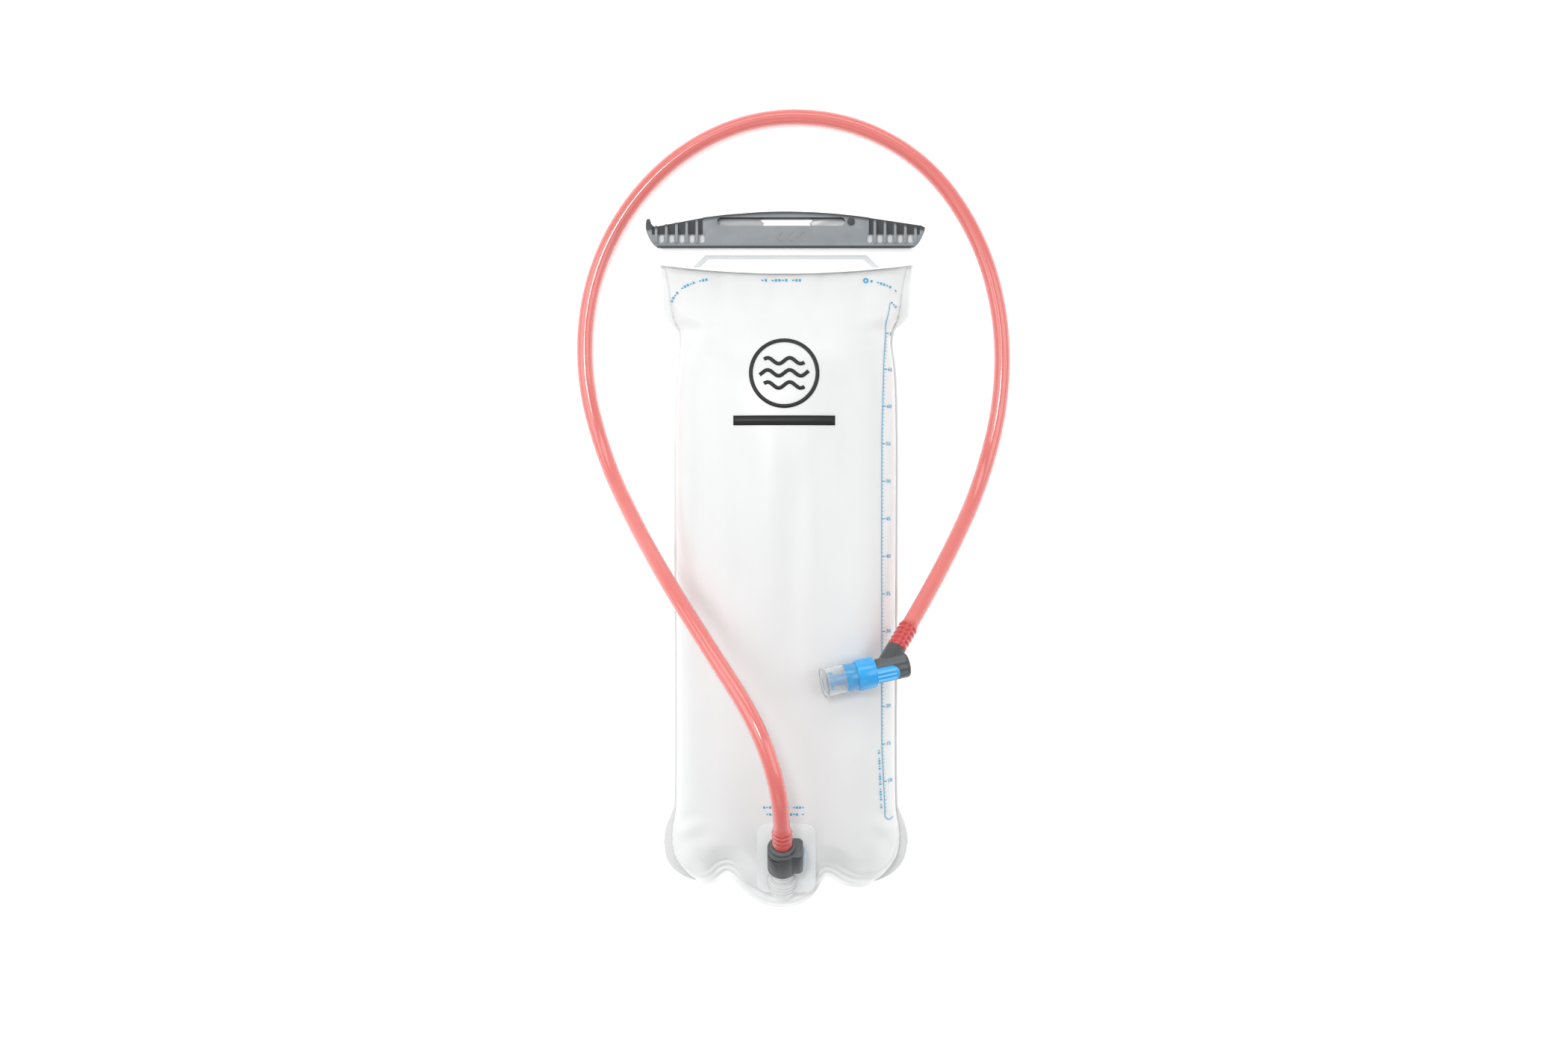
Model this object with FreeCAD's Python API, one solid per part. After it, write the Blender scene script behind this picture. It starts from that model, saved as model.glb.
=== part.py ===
import FreeCAD, Part
import math
import os
from FreeCAD import Placement, Rotation, Vector

# Hydration bladder, lying on its back with the drink tube round it. Millimetres.
# +Z is up and out of the front film, +Y points at the slide-seal mouth, z = 0 is the surface.

# ---- driving dimensions -------------------------------------------------------------------
FILM = 0.6                     # film wall
SEAM_Z = 32.0                  # height of the side weld and of the mouth
MOUTH_HALF = 75.0
MOUTH_END_Y = 189.4
BOTTOM_Y = -195.0
SKIRT_T = 1.0                  # welded margin under the bottom end

# film sections from mouth to bottom: y, half width, lowest z, highest z, corner radius
FILM_SECTIONS = [
    (MOUTH_END_Y, MOUTH_HALF, 30.5, 33.5, 1.4),
    (177.0, MOUTH_HALF, 30.5, 33.5, 1.4),
    (160.0, 74.0, 21.0, 46.0, 11.0),
    (145.0, 71.0, 11.0, 61.0, 22.0),
    (128.0, 65.5, 3.0, 73.0, 33.0),
    (105.0, 65.0, 0.0, 80.0, 39.0),
    (60.0, 65.0, 0.0, 82.0, 40.5),
    (-110.0, 65.0, 0.0, 82.0, 40.5),
    (-150.0, 66.0, 0.0, 80.0, 30.0),
    (BOTTOM_Y, 70.0, 3.0, 74.8, 14.0),
]

RAIL_HALF = 74.0
RAIL_Y = (183.2, 189.3)
FLAP_Z = (35.1, 35.7)
FLAP_BEND_Y = 177.0
FLAP_EDGE_Y = 165.1
FLAP_RISE = 0.735              # rise per mm of the flap below the bend, as the film's

SLIDER_Z = (26.7, 38.0)
CHANNEL_Z = (28.7, 36.0)
SLIDER_Y0 = 181.3
CHANNEL_TOP_Y = 190.5
SLOT_Y = (194.3, 199.2)
WEB_Z = 30.5                   # top of the webs that close the slot at the back near its ends
SLIDER_HALF = 82.2
RIB_X = (52.5, 58.5, 64.5, 70.5, 76.5)
RIB_T = 1.5
RIB_TOP = (198.0, 197.0, 196.0, 195.0, 194.0)
RIB_Z = (25.2, 39.5)
WINDOW_W = 3.0

PORT_AT = Vector(-2.0, -185.5, 75.9)
PORT_TILT = 45.0               # neck's lean from upright towards the mouth
NECK_R = 5.2
NECK_END = 26.0
PORT_BORE_R = 3.2
COUPLING_R = 8.5
COUPLING_U = (13.0, 31.0)      # start and end along the port axis
BUTTON_TRAVEL = 1.0

TUBE_R = 4.75
TUBE_BORE_R = 3.2
BARB_L = 16.0

VALVE_RIGHT = Vector(69.6, -61.5, 83.9)
VALVE_LEFT = Vector(20.8, -71.4, 92.9)
BRANCH_DIR = Vector(0.487, 0.75, -0.447).normalize()
BRANCH_AT = 15.0
BRANCH_L = 16.0
ELBOW_R = 7.0
COLLAR_R = 9.0

# ---- helpers ------------------------------------------------------------------------------


def box(x, y, z):
    return Part.makeBox(x[1] - x[0], y[1] - y[0], z[1] - z[0], Vector(x[0], y[0], z[0]))


def rod(radius, start, end, centre=(0.0, 0.0)):
    """Cylinder along local +Z from start to end."""
    return Part.makeCylinder(radius, end - start, Vector(centre[0], centre[1], start))


def ring(outer, inner, start, end):
    return rod(outer, start, end).cut(rod(inner, start - 1.0, end + 1.0))


def plate(outline, start, end):
    """Flat outline of edges in local XY, raised from start to end."""
    face = Part.Face(Part.Wire(outline))
    face.translate(Vector(0, 0, start))
    return face.extrude(Vector(0, 0, end - start))


def line(a, b):
    return Part.LineSegment(Vector(a[0], a[1], 0), Vector(b[0], b[1], 0)).toShape()


def bow(a, middle, b):
    points = [Vector(p[0], p[1], 0) for p in (a, middle, b)]
    return Part.Arc(*points).toShape()


def helix(radius, wire, turns, length, start):
    """Spring of round wire along local +Z."""
    path = Part.makeHelix(length / turns, length, radius)
    path.translate(Vector(0, 0, start))
    circle = Part.Circle(Vector(radius, 0, start), Vector(0, 1, 0), wire)
    mark = Part.Wire(circle.toShape())
    return Part.Wire(path.Edges).makePipeShell([mark], True, True)


def placed(shape, at, rotation):
    moved = shape.copy()
    moved.Placement = Placement(at, rotation).multiply(moved.Placement)
    return moved


PORT_TURN = Rotation(Vector(1, 0, 0), -PORT_TILT)
PORT_DIR = PORT_TURN.multVec(Vector(0, 0, 1))


def on_port(shape):
    return placed(shape, PORT_AT, PORT_TURN)


VALVE_L = (VALVE_LEFT - VALVE_RIGHT).Length
VALVE_DIR = (VALVE_LEFT - VALVE_RIGHT).normalize()
VALVE_UP = (Vector(0, 0, 1) - VALVE_DIR * VALVE_DIR.z).normalize()
VALVE_TURN = Rotation(VALVE_UP.cross(VALVE_DIR), VALVE_UP, VALVE_DIR, "ZYX")


def on_valve(shape):
    return placed(shape, VALVE_RIGHT, VALVE_TURN)


BRANCH_ROOT = VALVE_RIGHT + VALVE_DIR * BRANCH_AT
BRANCH_TURN = Rotation(Vector(0, 0, 1), BRANCH_DIR)


def on_branch(shape):
    return placed(shape, BRANCH_ROOT, BRANCH_TURN)


# ---- film bladder -------------------------------------------------------------------------


def film_section(y, half, low, high, radius):
    """Rounded rectangle in the plane y, with eight edges."""
    left, right = -half + radius, half - radius
    bottom, top = low + radius, high - radius
    lean = radius * math.sin(math.pi / 4)

    def at(x, z):
        return Vector(x, y, z)

    edges = [
        Part.LineSegment(at(left, low), at(right, low)),
        Part.Arc(at(right, low), at(right + lean, bottom - lean), at(half, bottom)),
        Part.LineSegment(at(half, bottom), at(half, top)),
        Part.Arc(at(half, top), at(right + lean, top + lean), at(right, high)),
        Part.LineSegment(at(right, high), at(left, high)),
        Part.Arc(at(left, high), at(left - lean, top + lean), at(-half, top)),
        Part.LineSegment(at(-half, top), at(-half, bottom)),
        Part.Arc(at(-half, bottom), at(left - lean, bottom - lean), at(left, low)),
    ]
    return Part.Wire([edge.toShape() for edge in edges])


def film_body(inset):
    """The filled bladder's shape, drawn in by inset on every side."""
    wires = []
    for y, half, low, high, radius in FILM_SECTIONS:
        wires.append(film_section(y, half - inset, low + inset, high - inset, radius - inset))
    return Part.makeLoft(wires, True, True)


def weld_skirt(z):
    """Flat welded margin with three lobes, top face at z."""
    edge = BOTTOM_Y + 0.5
    outline = [
        line((-56.0, edge), (56.0, edge)),
        line((56.0, edge), (72.0, -190.0)),
        bow((72.0, -190.0), (56.0, -198.0), (30.0, -196.5)),
        bow((30.0, -196.5), (-2.0, -203.0), (-34.0, -196.5)),
        bow((-34.0, -196.5), (-58.0, -198.0), (-74.0, -190.0)),
        line((-74.0, -190.0), (-56.0, edge)),
    ]
    return plate(outline, z - SKIRT_T, z)


def on_port_film(shape):
    """Places a shape drawn on local XY onto the front film at the port."""
    (y1, _, _, z1, _), (y2, _, _, z2, _) = FILM_SECTIONS[-2:]
    slope = math.degrees(math.atan2(z1 - z2, y1 - y2))
    return placed(shape, PORT_AT, Rotation(Vector(1, 0, 0), slope))


def gusset_fold(low, high):
    """Thin curved sheet across the bottom end, bowed into the bladder."""
    middle = (low + high) / 2
    depth = 12.0
    near, far = BOTTOM_Y, BOTTOM_Y + FILM
    corners = [Vector(-90, near, low), Vector(-90, near, high), Vector(-90, far, high),
               Vector(-90, far, low)]
    profile = [
        Part.Arc(corners[0], Vector(-90, near + depth, middle), corners[1]),
        Part.LineSegment(corners[1], corners[2]),
        Part.Arc(corners[2], Vector(-90, far + depth, middle), corners[3]),
        Part.LineSegment(corners[3], corners[0]),
    ]
    face = Part.Face(Part.Wire([edge.toShape() for edge in profile]))
    return face.extrude(Vector(180, 0, 0))


def film_parts():
    outer = film_body(0.0)
    inner = film_body(FILM)
    shell = outer.cut(inner)
    upper = box((-90, 90), (-220, 220), (SEAM_Z, 100))
    lower = box((-90, 90), (-220, 220), (-10, SEAM_Z))
    _, _, low, high, _ = FILM_SECTIONS[-1]
    top_skirt = weld_skirt(high)
    bottom_skirt = weld_skirt(low + SKIRT_T)
    front = shell.common(upper).fuse(top_skirt).cut(on_port_film(rod(4.2, -5.0, 5.0)))
    back = shell.common(lower).fuse(bottom_skirt)
    gusset = gusset_fold(low, high).common(inner).cut(top_skirt).cut(bottom_skirt)
    patch_tool = box((-16.5, 17), (-192.5, -152.5), (60, 100))
    corners = [e for e in patch_tool.Edges if e.BoundBox.ZLength > 30]
    patch_tool = patch_tool.makeFillet(6.0, corners)
    patch = film_body(-0.8).cut(outer).common(patch_tool)
    patch = patch.cut(on_port_film(rod(8.7, -5.0, 5.0)))
    return {"front_panel": front, "back_panel": back, "bottom_gusset": gusset,
            "port_patch": patch}


def mouth_parts():
    """The folded mouth: rails, flap over the front and the flap's stiffener."""
    rail_x = (-RAIL_HALF, RAIL_HALF)
    rail_back = box(rail_x, RAIL_Y, (29.0, 30.4))
    rail_front = box(rail_x, RAIL_Y, (33.6, 35.0))
    edge_z = FLAP_Z[0] + (FLAP_BEND_Y - FLAP_EDGE_Y) * FLAP_RISE
    thick = FLAP_Z[1] - FLAP_Z[0]
    crest_y = MOUTH_END_Y + FILM
    side = [(crest_y, 29.0), (crest_y, FLAP_Z[1]), (FLAP_BEND_Y, FLAP_Z[1]),
            (FLAP_EDGE_Y, edge_z + thick), (FLAP_EDGE_Y, edge_z), (FLAP_BEND_Y, FLAP_Z[0]),
            (MOUTH_END_Y, FLAP_Z[0]), (MOUTH_END_Y, 29.0)]
    points = [Vector(-MOUTH_HALF, y, z) for y, z in side]
    flap = Part.Face(Part.makePolygon(points + points[:1]))
    flap = flap.extrude(Vector(2 * MOUTH_HALF, 0, 0))
    wide = MOUTH_HALF + 1.0
    trim = [
        bow((-wide, 171.0), (0.0, FLAP_EDGE_Y + 0.1), (wide, 171.0)),
        line((wide, 171.0), (wide, 150.0)),
        line((wide, 150.0), (-wide, 150.0)),
        line((-wide, 150.0), (-wide, 171.0)),
    ]
    flap = flap.cut(plate(trim, 20.0, 60.0))
    band = [(-54.5, -10.0), (-47.5, -0.6), (47.5, -0.6), (54.5, -10.0), (51.0, -10.0),
            (45.8, -3.6), (-45.8, -3.6), (-51.0, -10.0)]
    edges = [line(band[i - 1], band[i]) for i in range(len(band))]
    lean = -math.degrees(math.atan(FLAP_RISE))
    lift = thick * math.cos(math.radians(lean))
    strip = plate(edges, lift, lift + 0.6)
    strip = placed(strip, Vector(0, FLAP_BEND_Y, FLAP_Z[0]), Rotation(Vector(1, 0, 0), lean))
    return {"mouth_rail_back": rail_back, "mouth_rail_front": rail_front,
            "fold_flap": flap, "flap_stiffener": strip}


# ---- slider -------------------------------------------------------------------------------


def slider_outline():
    """Front view of the slider: hook at the left, arch in the middle, rounded right end."""
    return [
        line((-82.2, 198.0), (-80.4, 198.4)),
        bow((-80.4, 198.4), (-79.4, 195.4), (-77.5, 193.8)),
        line((-77.5, 193.8), (-48.0, 199.3)),
        bow((-48.0, 199.3), (0.0, 202.7), (48.0, 199.3)),
        line((48.0, 199.3), (79.5, 194.6)),
        line((79.5, 194.6), (SLIDER_HALF, 193.2)),
        bow((SLIDER_HALF, 193.2), (79.8, 186.6), (73.5, SLIDER_Y0)),
        line((73.5, SLIDER_Y0), (-74.0, SLIDER_Y0)),
        bow((-74.0, SLIDER_Y0), (-80.0, 186.0), (-82.2, 198.0)),
    ]


def rounded_slot(x, y, z):
    slot = box(x, y, z)
    ends = [e for e in slot.Edges if e.BoundBox.ZLength > 1.0]
    radius = min(x[1] - x[0], y[1] - y[0]) / 2 - 0.05
    return slot.makeFillet(radius, ends)


def slider_parts():
    bar = plate(slider_outline(), *SLIDER_Z)
    bar = bar.cut(box((-80.2, 95), (170, CHANNEL_TOP_Y), CHANNEL_Z))
    lip = plate(slider_outline(), CHANNEL_Z[0] - 0.5, 30.2)
    lip = lip.common(box((-90, 90), (170, 182.9), (20, 40)))
    bar = bar.fuse(lip)
    bar = bar.cut(rounded_slot((-40.5, 35.0), SLOT_Y, (WEB_Z, 45)))
    low, high = SLOT_Y[0] + 0.05, SLOT_Y[1] - 0.05
    middle = (low + high) / 2
    window = [(-15.5, low), (-13.0, middle), (-15.5, high), (16.5, high), (14.0, middle),
              (16.5, low)]
    sides = [line(window[i - 1], window[i]) for i in range(len(window))]
    bar = bar.cut(plate(sides, 20, 45))
    recess = 1.2
    faces = ((20.0, SLIDER_Z[0] + recess), (SLIDER_Z[1] - recess, 45.0))
    for side in (-1, 1):
        zone = sorted((side * 49.0, side * 79.0))
        for z in faces:
            bar = bar.cut(box(zone, (189.0, 205.0), z))
        for x, top in zip(RIB_X, RIB_TOP):
            rib = (side * x - RIB_T / 2, side * x + RIB_T / 2)
            bar = bar.fuse(box(rib, (184.0, top), (SLIDER_Z[1] - recess, RIB_Z[1])))
            bar = bar.fuse(box(rib, (184.0, top), (RIB_Z[0], SLIDER_Z[0] + recess)))
        for x in RIB_X:
            middle = side * (x - 3.0)
            window = (middle - WINDOW_W / 2, middle + WINDOW_W / 2)
            bar = bar.cut(rounded_slot(window, (184.2, 189.4), (CHANNEL_Z[1] - 0.5, 45.0)))
    pin_at = (38.4, 196.7)
    bar = bar.cut(rod(1.2, 20, 45, pin_at))
    shaft = rod(1.2, SLIDER_Z[0], SLIDER_Z[1], pin_at)
    head = rod(2.15, SLIDER_Z[1], SLIDER_Z[1] + 1.2, pin_at)
    tail = rod(1.9, SLIDER_Z[0] - 1.0, SLIDER_Z[0], pin_at)
    return {"slider_bar": bar.removeSplitter(), "tether_pin": shaft.fuse([head, tail])}


# ---- outlet port and shut-off -------------------------------------------------------------


def port_parts():
    flange = on_port_film(rod(8.5, 0.0, 1.6))
    neck = rod(NECK_R, -10.0, NECK_END).fuse(rod(7.4, -12.0, 4.0))
    for start in (5.6, 8.6):
        neck = neck.fuse(rod(6.3, start, start + 1.4))
    neck = neck.cut(ring(NECK_R + 1, 4.4, 20.4, 21.8)).cut(ring(NECK_R + 1, 4.3, 23.2, 24.8))
    body = on_port(neck).fuse(flange)
    body = body.cut(on_port_film(box((-30, 30), (-40, 40), (-40, 0))))
    body = body.cut(on_port(rod(2.2, -12.0, 6.0)))
    body = body.cut(on_port(rod(PORT_BORE_R, 4.0, 25.0)))
    body = body.cut(on_port(rod(2.0, 24.0, 30.0)))
    seal = Part.makeTorus(4.72, 0.4, Vector(0, 0, 24.0))
    poppet = rod(2.6, 22.0, 23.4).fuse(rod(1.0, 12.0, 22.5)).fuse(rod(2.9, 12.0, 14.5))
    slit = box((-0.5, 0.5), (-4, 4), (11, 15)).cut(rod(1.0, 10, 16))
    spring = helix(2.3, 0.35, 5, 6.2, 4.8)
    return {"port_body": body, "port_o_ring": on_port(seal),
            "port_poppet": on_port(poppet.cut(slit)), "poppet_spring": on_port(spring)}


# ---- coupling -----------------------------------------------------------------------------


def coupling_parts():
    start, end = COUPLING_U
    barrel = rod(COUPLING_R, start, end)
    block = box((0.0, 11.6), (-6.6, 6.6), (start + 2.5, end))
    sides = [e for e in block.Edges if e.BoundBox.ZLength > 10 and e.BoundBox.XMin > 5]
    block = block.makeFillet(3.0, sides)
    body = barrel.fuse(block)
    body = body.cut(rod(NECK_R + 0.15, start - 1, 27.2))
    body = body.cut(box((8.0, 12.0), (-4.3, 4.3), (17.2, 26.8)))
    gap = rod(6.85, 21.0, 22.6).fuse(rod(6.85, 21.0, 22.6, (-BUTTON_TRAVEL, 0.0)))
    gap = gap.fuse(box((0.0, 9.0), (-4.3, 4.3), (21.0, 22.6)))
    body = body.cut(gap)
    body = body.cut(rod(4.6, 29.0, end + 1)).cut(rod(1.8, 26.0, 30.0))
    for low in (25.4, 28.0):
        groove = ring(COUPLING_R + 1, COUPLING_R - 0.7, low, low + 0.9)
        body = body.cut(groove.common(box((-12, -2), (-12, 2), (20, 30))))

    seal = ring(4.9, 3.4, 26.3, 27.1)
    collar = ring(7.1, TUBE_R + 0.2, end, end + 3.0)
    barb = rod(4.5, 29.1, end).fuse(rod(1.7, 23.8, 29.5)).fuse(rod(2.7, end, end + BARB_L))
    for i in range(5):
        step = end + 0.6 + 3.0 * i
        barb = barb.fuse(Part.makeCone(3.1, 2.7, 2.4, Vector(0, 0, step)))
    barb = barb.cut(rod(1.1, 20.0, 32.0)).cut(rod(1.9, 31.0, 50.0))

    cap = box((9.6, 13.2), (-4.0, 4.0), (17.5, 26.5))
    rim = [e for e in cap.Edges if e.BoundBox.XMin > 13.0]
    button = cap.makeFillet(0.8, rim)
    frame = rod(6.6, 21.2, 22.4).fuse(box((0.0, 9.6), (-3.6, 3.6), (21.2, 22.4)))
    opening = rod(5.5, 20.0, 24.0).fuse(rod(5.5, 20.0, 24.0, (BUTTON_TRAVEL, 0.0)))
    latch = frame.cut(opening)
    leaf = [
        bow((8.1, -3.2), (9.5, 0.0), (8.1, 3.2)),
        line((8.1, 3.2), (8.1, 3.0)),
        bow((8.1, 3.0), (9.3, 0.0), (8.1, -3.0)),
        line((8.1, -3.0), (8.1, -3.2)),
    ]
    spring = plate(leaf, 23.4, 25.8)
    shapes = {"coupling_body": body, "coupling_seal": seal, "coupling_collar": collar,
              "coupling_barb": barb, "release_button": button, "latch_plate": latch,
              "button_spring": spring}
    return {name: on_port(shape) for name, shape in shapes.items()}


# ---- bite valve ---------------------------------------------------------------------------


def valve_parts():
    barrel = rod(ELBOW_R, 0.0, 19.6)
    end_rim = [e for e in barrel.Edges if e.BoundBox.ZMax < 0.1]
    barrel = barrel.makeFillet(2.0, end_rim)
    spigot = rod(5.6, 19.0, 33.0).cut(ring(7.0, 4.9, 25.6, 27.2))
    elbow = on_valve(barrel.fuse(spigot))
    branch = rod(5.6, 0.0, BRANCH_L).fuse(rod(2.7, BRANCH_L, BRANCH_L + BARB_L))
    for i in range(5):
        step = BRANCH_L + 0.6 + 3.0 * i
        branch = branch.fuse(Part.makeCone(3.1, 2.7, 2.4, Vector(0, 0, step)))
    elbow = elbow.fuse(on_branch(branch))
    elbow = elbow.cut(on_valve(rod(3.0, 12.0, 34.0)))
    elbow = elbow.cut(on_branch(rod(1.9, 0.0, BRANCH_L + BARB_L + 1)))
    o_ring = Part.makeTorus(5.25, 0.33, Vector(0, 0, 26.4))

    collar = ring(COLLAR_R, 5.75, 19.9, 31.0)
    collar = collar.makeChamfer(0.7, [e for e in collar.Edges if e.Length > 50])
    tab = ring(ELBOW_R + 1.9, ELBOW_R + 0.4, 7.4, 21.0)
    wedge = box((-4.2, 4.2), (2.0, 12.0), (7.4, 21.0))
    long_edges = [e for e in wedge.Edges if e.BoundBox.YLength > 5 and e.BoundBox.ZMax < 8]
    wedge = wedge.makeFillet(3.9, long_edges)
    tab = tab.common(wedge)
    for offset in (-2.4, 0.0, 2.4):
        tab = tab.fuse(box((offset - 0.5, offset + 0.5), (8.2, 9.3), (9.4, 20.5)))
    tab.rotate(Vector(0, 0, 0), Vector(0, 0, 1), -18)
    collar = collar.fuse(tab)

    core = rod(7.9, 31.0, 38.0).fuse(rod(3.4, 38.0, 46.5)).fuse(rod(5.2, 45.0, 47.0))
    core = core.cut(rod(5.75, 30.0, 34.0)).cut(rod(2.2, 33.0, 44.5))
    core = core.cut(Part.makeCylinder(1.2, 12, Vector(-6, 0, 43.0), Vector(1, 0, 0)))
    sheath = rod(8.2, 38.0, VALVE_L).cut(rod(7.0, 37.0, VALVE_L - 2.0))
    sheath = sheath.cut(box((-4.5, 4.5), (-0.15, 0.15), (VALVE_L - 2.5, VALVE_L + 1)))
    shapes = {"elbow_o_ring": o_ring, "valve_collar": collar, "valve_core": core,
              "bite_sheath": sheath}
    parts = {name: on_valve(shape) for name, shape in shapes.items()}
    parts["valve_elbow"] = elbow
    return parts


# ---- drink tube ---------------------------------------------------------------------------

TUBE_START = PORT_AT + PORT_DIR * COUPLING_U[1]
TUBE_END = BRANCH_ROOT + BRANCH_DIR * BRANCH_L
FLOOR_Z = 4.8                  # centre line of tube lying on the surface
EXIT_RUN = 26.0
LAST_RUN = 25.9

ROUTE = [
    TUBE_START,
    TUBE_START + PORT_DIR * EXIT_RUN,
    Vector(-6, -119, 125),
    Vector(-18, -88, 121),
    Vector(-44, -50, 102),
    Vector(-69, -13, 76),
    Vector(-89, 19, 41),
    Vector(-109, 57, 11),
    Vector(-123, 107, FLOOR_Z),
    Vector(-120, 160, FLOOR_Z),
    Vector(-99, 208, FLOOR_Z),
    Vector(-62, 246, FLOOR_Z),
    Vector(-14, 266, FLOOR_Z),
    Vector(39, 263, FLOOR_Z),
    Vector(85, 238, FLOOR_Z),
    Vector(116, 195, FLOOR_Z),
    Vector(131, 145, FLOOR_Z),
    Vector(131, 93, FLOOR_Z),
    Vector(118, 43, 9),
    Vector(98, 4, 38),
    TUBE_END + BRANCH_DIR * LAST_RUN,
    TUBE_END,
]


def route_wire(points):
    """Straight runs joined by tangent arcs, as large as their runs allow."""
    edges = []
    here = points[0]
    for before, corner, after in zip(points, points[1:], points[2:]):
        back = before - corner
        ahead = after - corner
        reach = 0.45 * min(back.Length, ahead.Length)
        back.normalize()
        ahead.normalize()
        half_turn = (math.pi - back.getAngle(ahead)) / 2
        radius = reach / math.tan(half_turn)
        enter = corner + back * reach
        leave = corner + ahead * reach
        inward = (back + ahead).normalize()
        middle = corner + inward * (radius / math.cos(half_turn) - radius)
        edges.append(Part.LineSegment(here, enter).toShape())
        edges.append(Part.Arc(enter, middle, leave).toShape())
        print("turn %.0f deg, radius %.0f mm" % (2 * math.degrees(half_turn), radius))
        here = leave
    edges.append(Part.LineSegment(here, points[-1]).toShape())
    return Part.Wire(edges)


def pipe(path, points, radius):
    circle = Part.Circle(points[0], points[1] - points[0], radius).toShape()
    return path.makePipeShell([Part.Wire(circle)], True, True)


def drink_tube():
    path = route_wire(ROUTE)
    tube = pipe(path, ROUTE, TUBE_R).cut(pipe(path, ROUTE, TUBE_BORE_R))
    expected = math.pi * (TUBE_R ** 2 - TUBE_BORE_R ** 2) * path.Length
    print("tube length %.1f mm, volume %.0f, expected %.0f" % (path.Length, tube.Volume, expected))
    return tube


# ---- write the nodes ----------------------------------------------------------------------


def main():
    os.makedirs("parts", exist_ok=True)
    nodes = {}
    nodes.update(film_parts())
    nodes.update(mouth_parts())
    nodes.update(slider_parts())
    nodes.update(port_parts())
    nodes["port_body"] = nodes["port_body"].cut(nodes["front_panel"])
    nodes["port_patch"] = nodes["port_patch"].cut(nodes["port_body"])
    nodes.update(coupling_parts())
    nodes.update(valve_parts())
    nodes["drink_tube"] = drink_tube()
    for name, shape in nodes.items():
        bounds = shape.optimalBoundingBox(False)
        low, high = bounds.ZMin, bounds.ZMax
        print("%-18s solids %d valid %s volume %.1f z %.2f..%.2f" % (
            name, len(shape.Solids), shape.isValid(), shape.Volume, low, high))
        shape.exportStep("parts/%s.step" % name)


main()
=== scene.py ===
import math

import bmesh
import bpy
import numpy as np
from mathutils import Matrix, Vector


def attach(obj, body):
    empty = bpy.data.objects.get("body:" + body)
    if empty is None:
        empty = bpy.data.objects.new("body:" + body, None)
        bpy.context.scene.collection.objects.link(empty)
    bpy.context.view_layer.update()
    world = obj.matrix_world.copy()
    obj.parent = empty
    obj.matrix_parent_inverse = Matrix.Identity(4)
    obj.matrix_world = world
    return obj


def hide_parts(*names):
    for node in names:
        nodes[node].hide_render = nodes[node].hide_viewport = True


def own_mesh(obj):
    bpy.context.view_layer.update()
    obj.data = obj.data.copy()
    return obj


# Hydration bladder lying on its back, seen from above. The looks are built round the CAD
# frame: film, prints and tube are new pieces, the moulded parts are the frame's own shapes
# with rounded edges. Sizes in this script are millimetres until a mesh is made.

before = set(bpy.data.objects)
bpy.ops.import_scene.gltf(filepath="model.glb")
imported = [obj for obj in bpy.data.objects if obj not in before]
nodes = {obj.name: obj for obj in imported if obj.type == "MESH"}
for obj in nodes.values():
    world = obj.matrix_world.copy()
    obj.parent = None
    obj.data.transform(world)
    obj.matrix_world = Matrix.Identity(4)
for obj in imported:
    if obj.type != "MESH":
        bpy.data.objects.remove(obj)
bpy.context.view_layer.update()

MM = 0.001

# slider
HANDLE_TOP = 202.7             # top of the arched handle, in the middle
HANDLE_BOW = 1.476             # how fast the arch falls to each side, per metre
SLIDER_FOOT = 181.3            # lower edge
SLIDER_FACE = 38.0             # height of the front face

# walls of the sheet pieces
FILM_WALL = 0.5
SEAM_WALL = 0.9
INK_WALL = 0.06
INK_LIFT = 0.25                # keeps the ink's underside clear of the film's small wrinkles

# how finely round and rounded shapes are cut
LATHE_SIDES = 72
CORNER_STEPS = 3

# ---- meshes -------------------------------------------------------------------------------


def eased(t):
    """Smooth step from 0 to 1."""
    t = np.clip(t, 0.0, 1.0)
    return t * t * (3 - 2 * t)


def mesh_piece(name, points, faces, material, smooth=True):
    """A mesh object from points in millimetres."""
    mesh = bpy.data.meshes.new(name)
    mesh.from_pydata([Vector(p) * MM for p in points], [], faces)
    mesh.validate()
    mesh.update()
    piece = bpy.data.objects.new(name, mesh)
    bpy.context.scene.collection.objects.link(piece)
    mesh.materials.append(material)
    if smooth:
        mesh.shade_smooth()
    return piece


def grid_faces(rows, columns, wrap=False, flip=False):
    """Quads between the points of a grid stored row by row."""
    faces = []
    for r in range(rows - 1):
        for c in range(columns if wrap else columns - 1):
            d = (c + 1) % columns
            quad = (r * columns + c, r * columns + d, (r + 1) * columns + d, (r + 1) * columns + c)
            faces.append(quad[::-1] if flip else quad)
    return faces


def baked(piece):
    """Turns what a piece's modifiers make into its plain mesh, and removes them."""
    graph = bpy.context.evaluated_depsgraph_get()
    mesh = bpy.data.meshes.new_from_object(piece.evaluated_get(graph))
    piece.modifiers.clear()
    piece.data = mesh
    return piece


def thicken(piece, thickness, offset=-1.0):
    """Gives a surface a wall: inwards at offset -1, both ways at 0, outwards at 1."""
    modifier = piece.modifiers.new("wall", "SOLIDIFY")
    modifier.thickness = thickness * MM
    modifier.offset = offset
    return baked(piece)


def closed_up(piece):
    """Merges doubles and turns faces outwards."""
    bm = bmesh.new()
    bm.from_mesh(piece.data)
    bmesh.ops.remove_doubles(bm, verts=bm.verts, dist=0.00002)
    bmesh.ops.recalc_face_normals(bm, faces=bm.faces)
    bm.to_mesh(piece.data)
    bm.free()
    return piece


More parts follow.
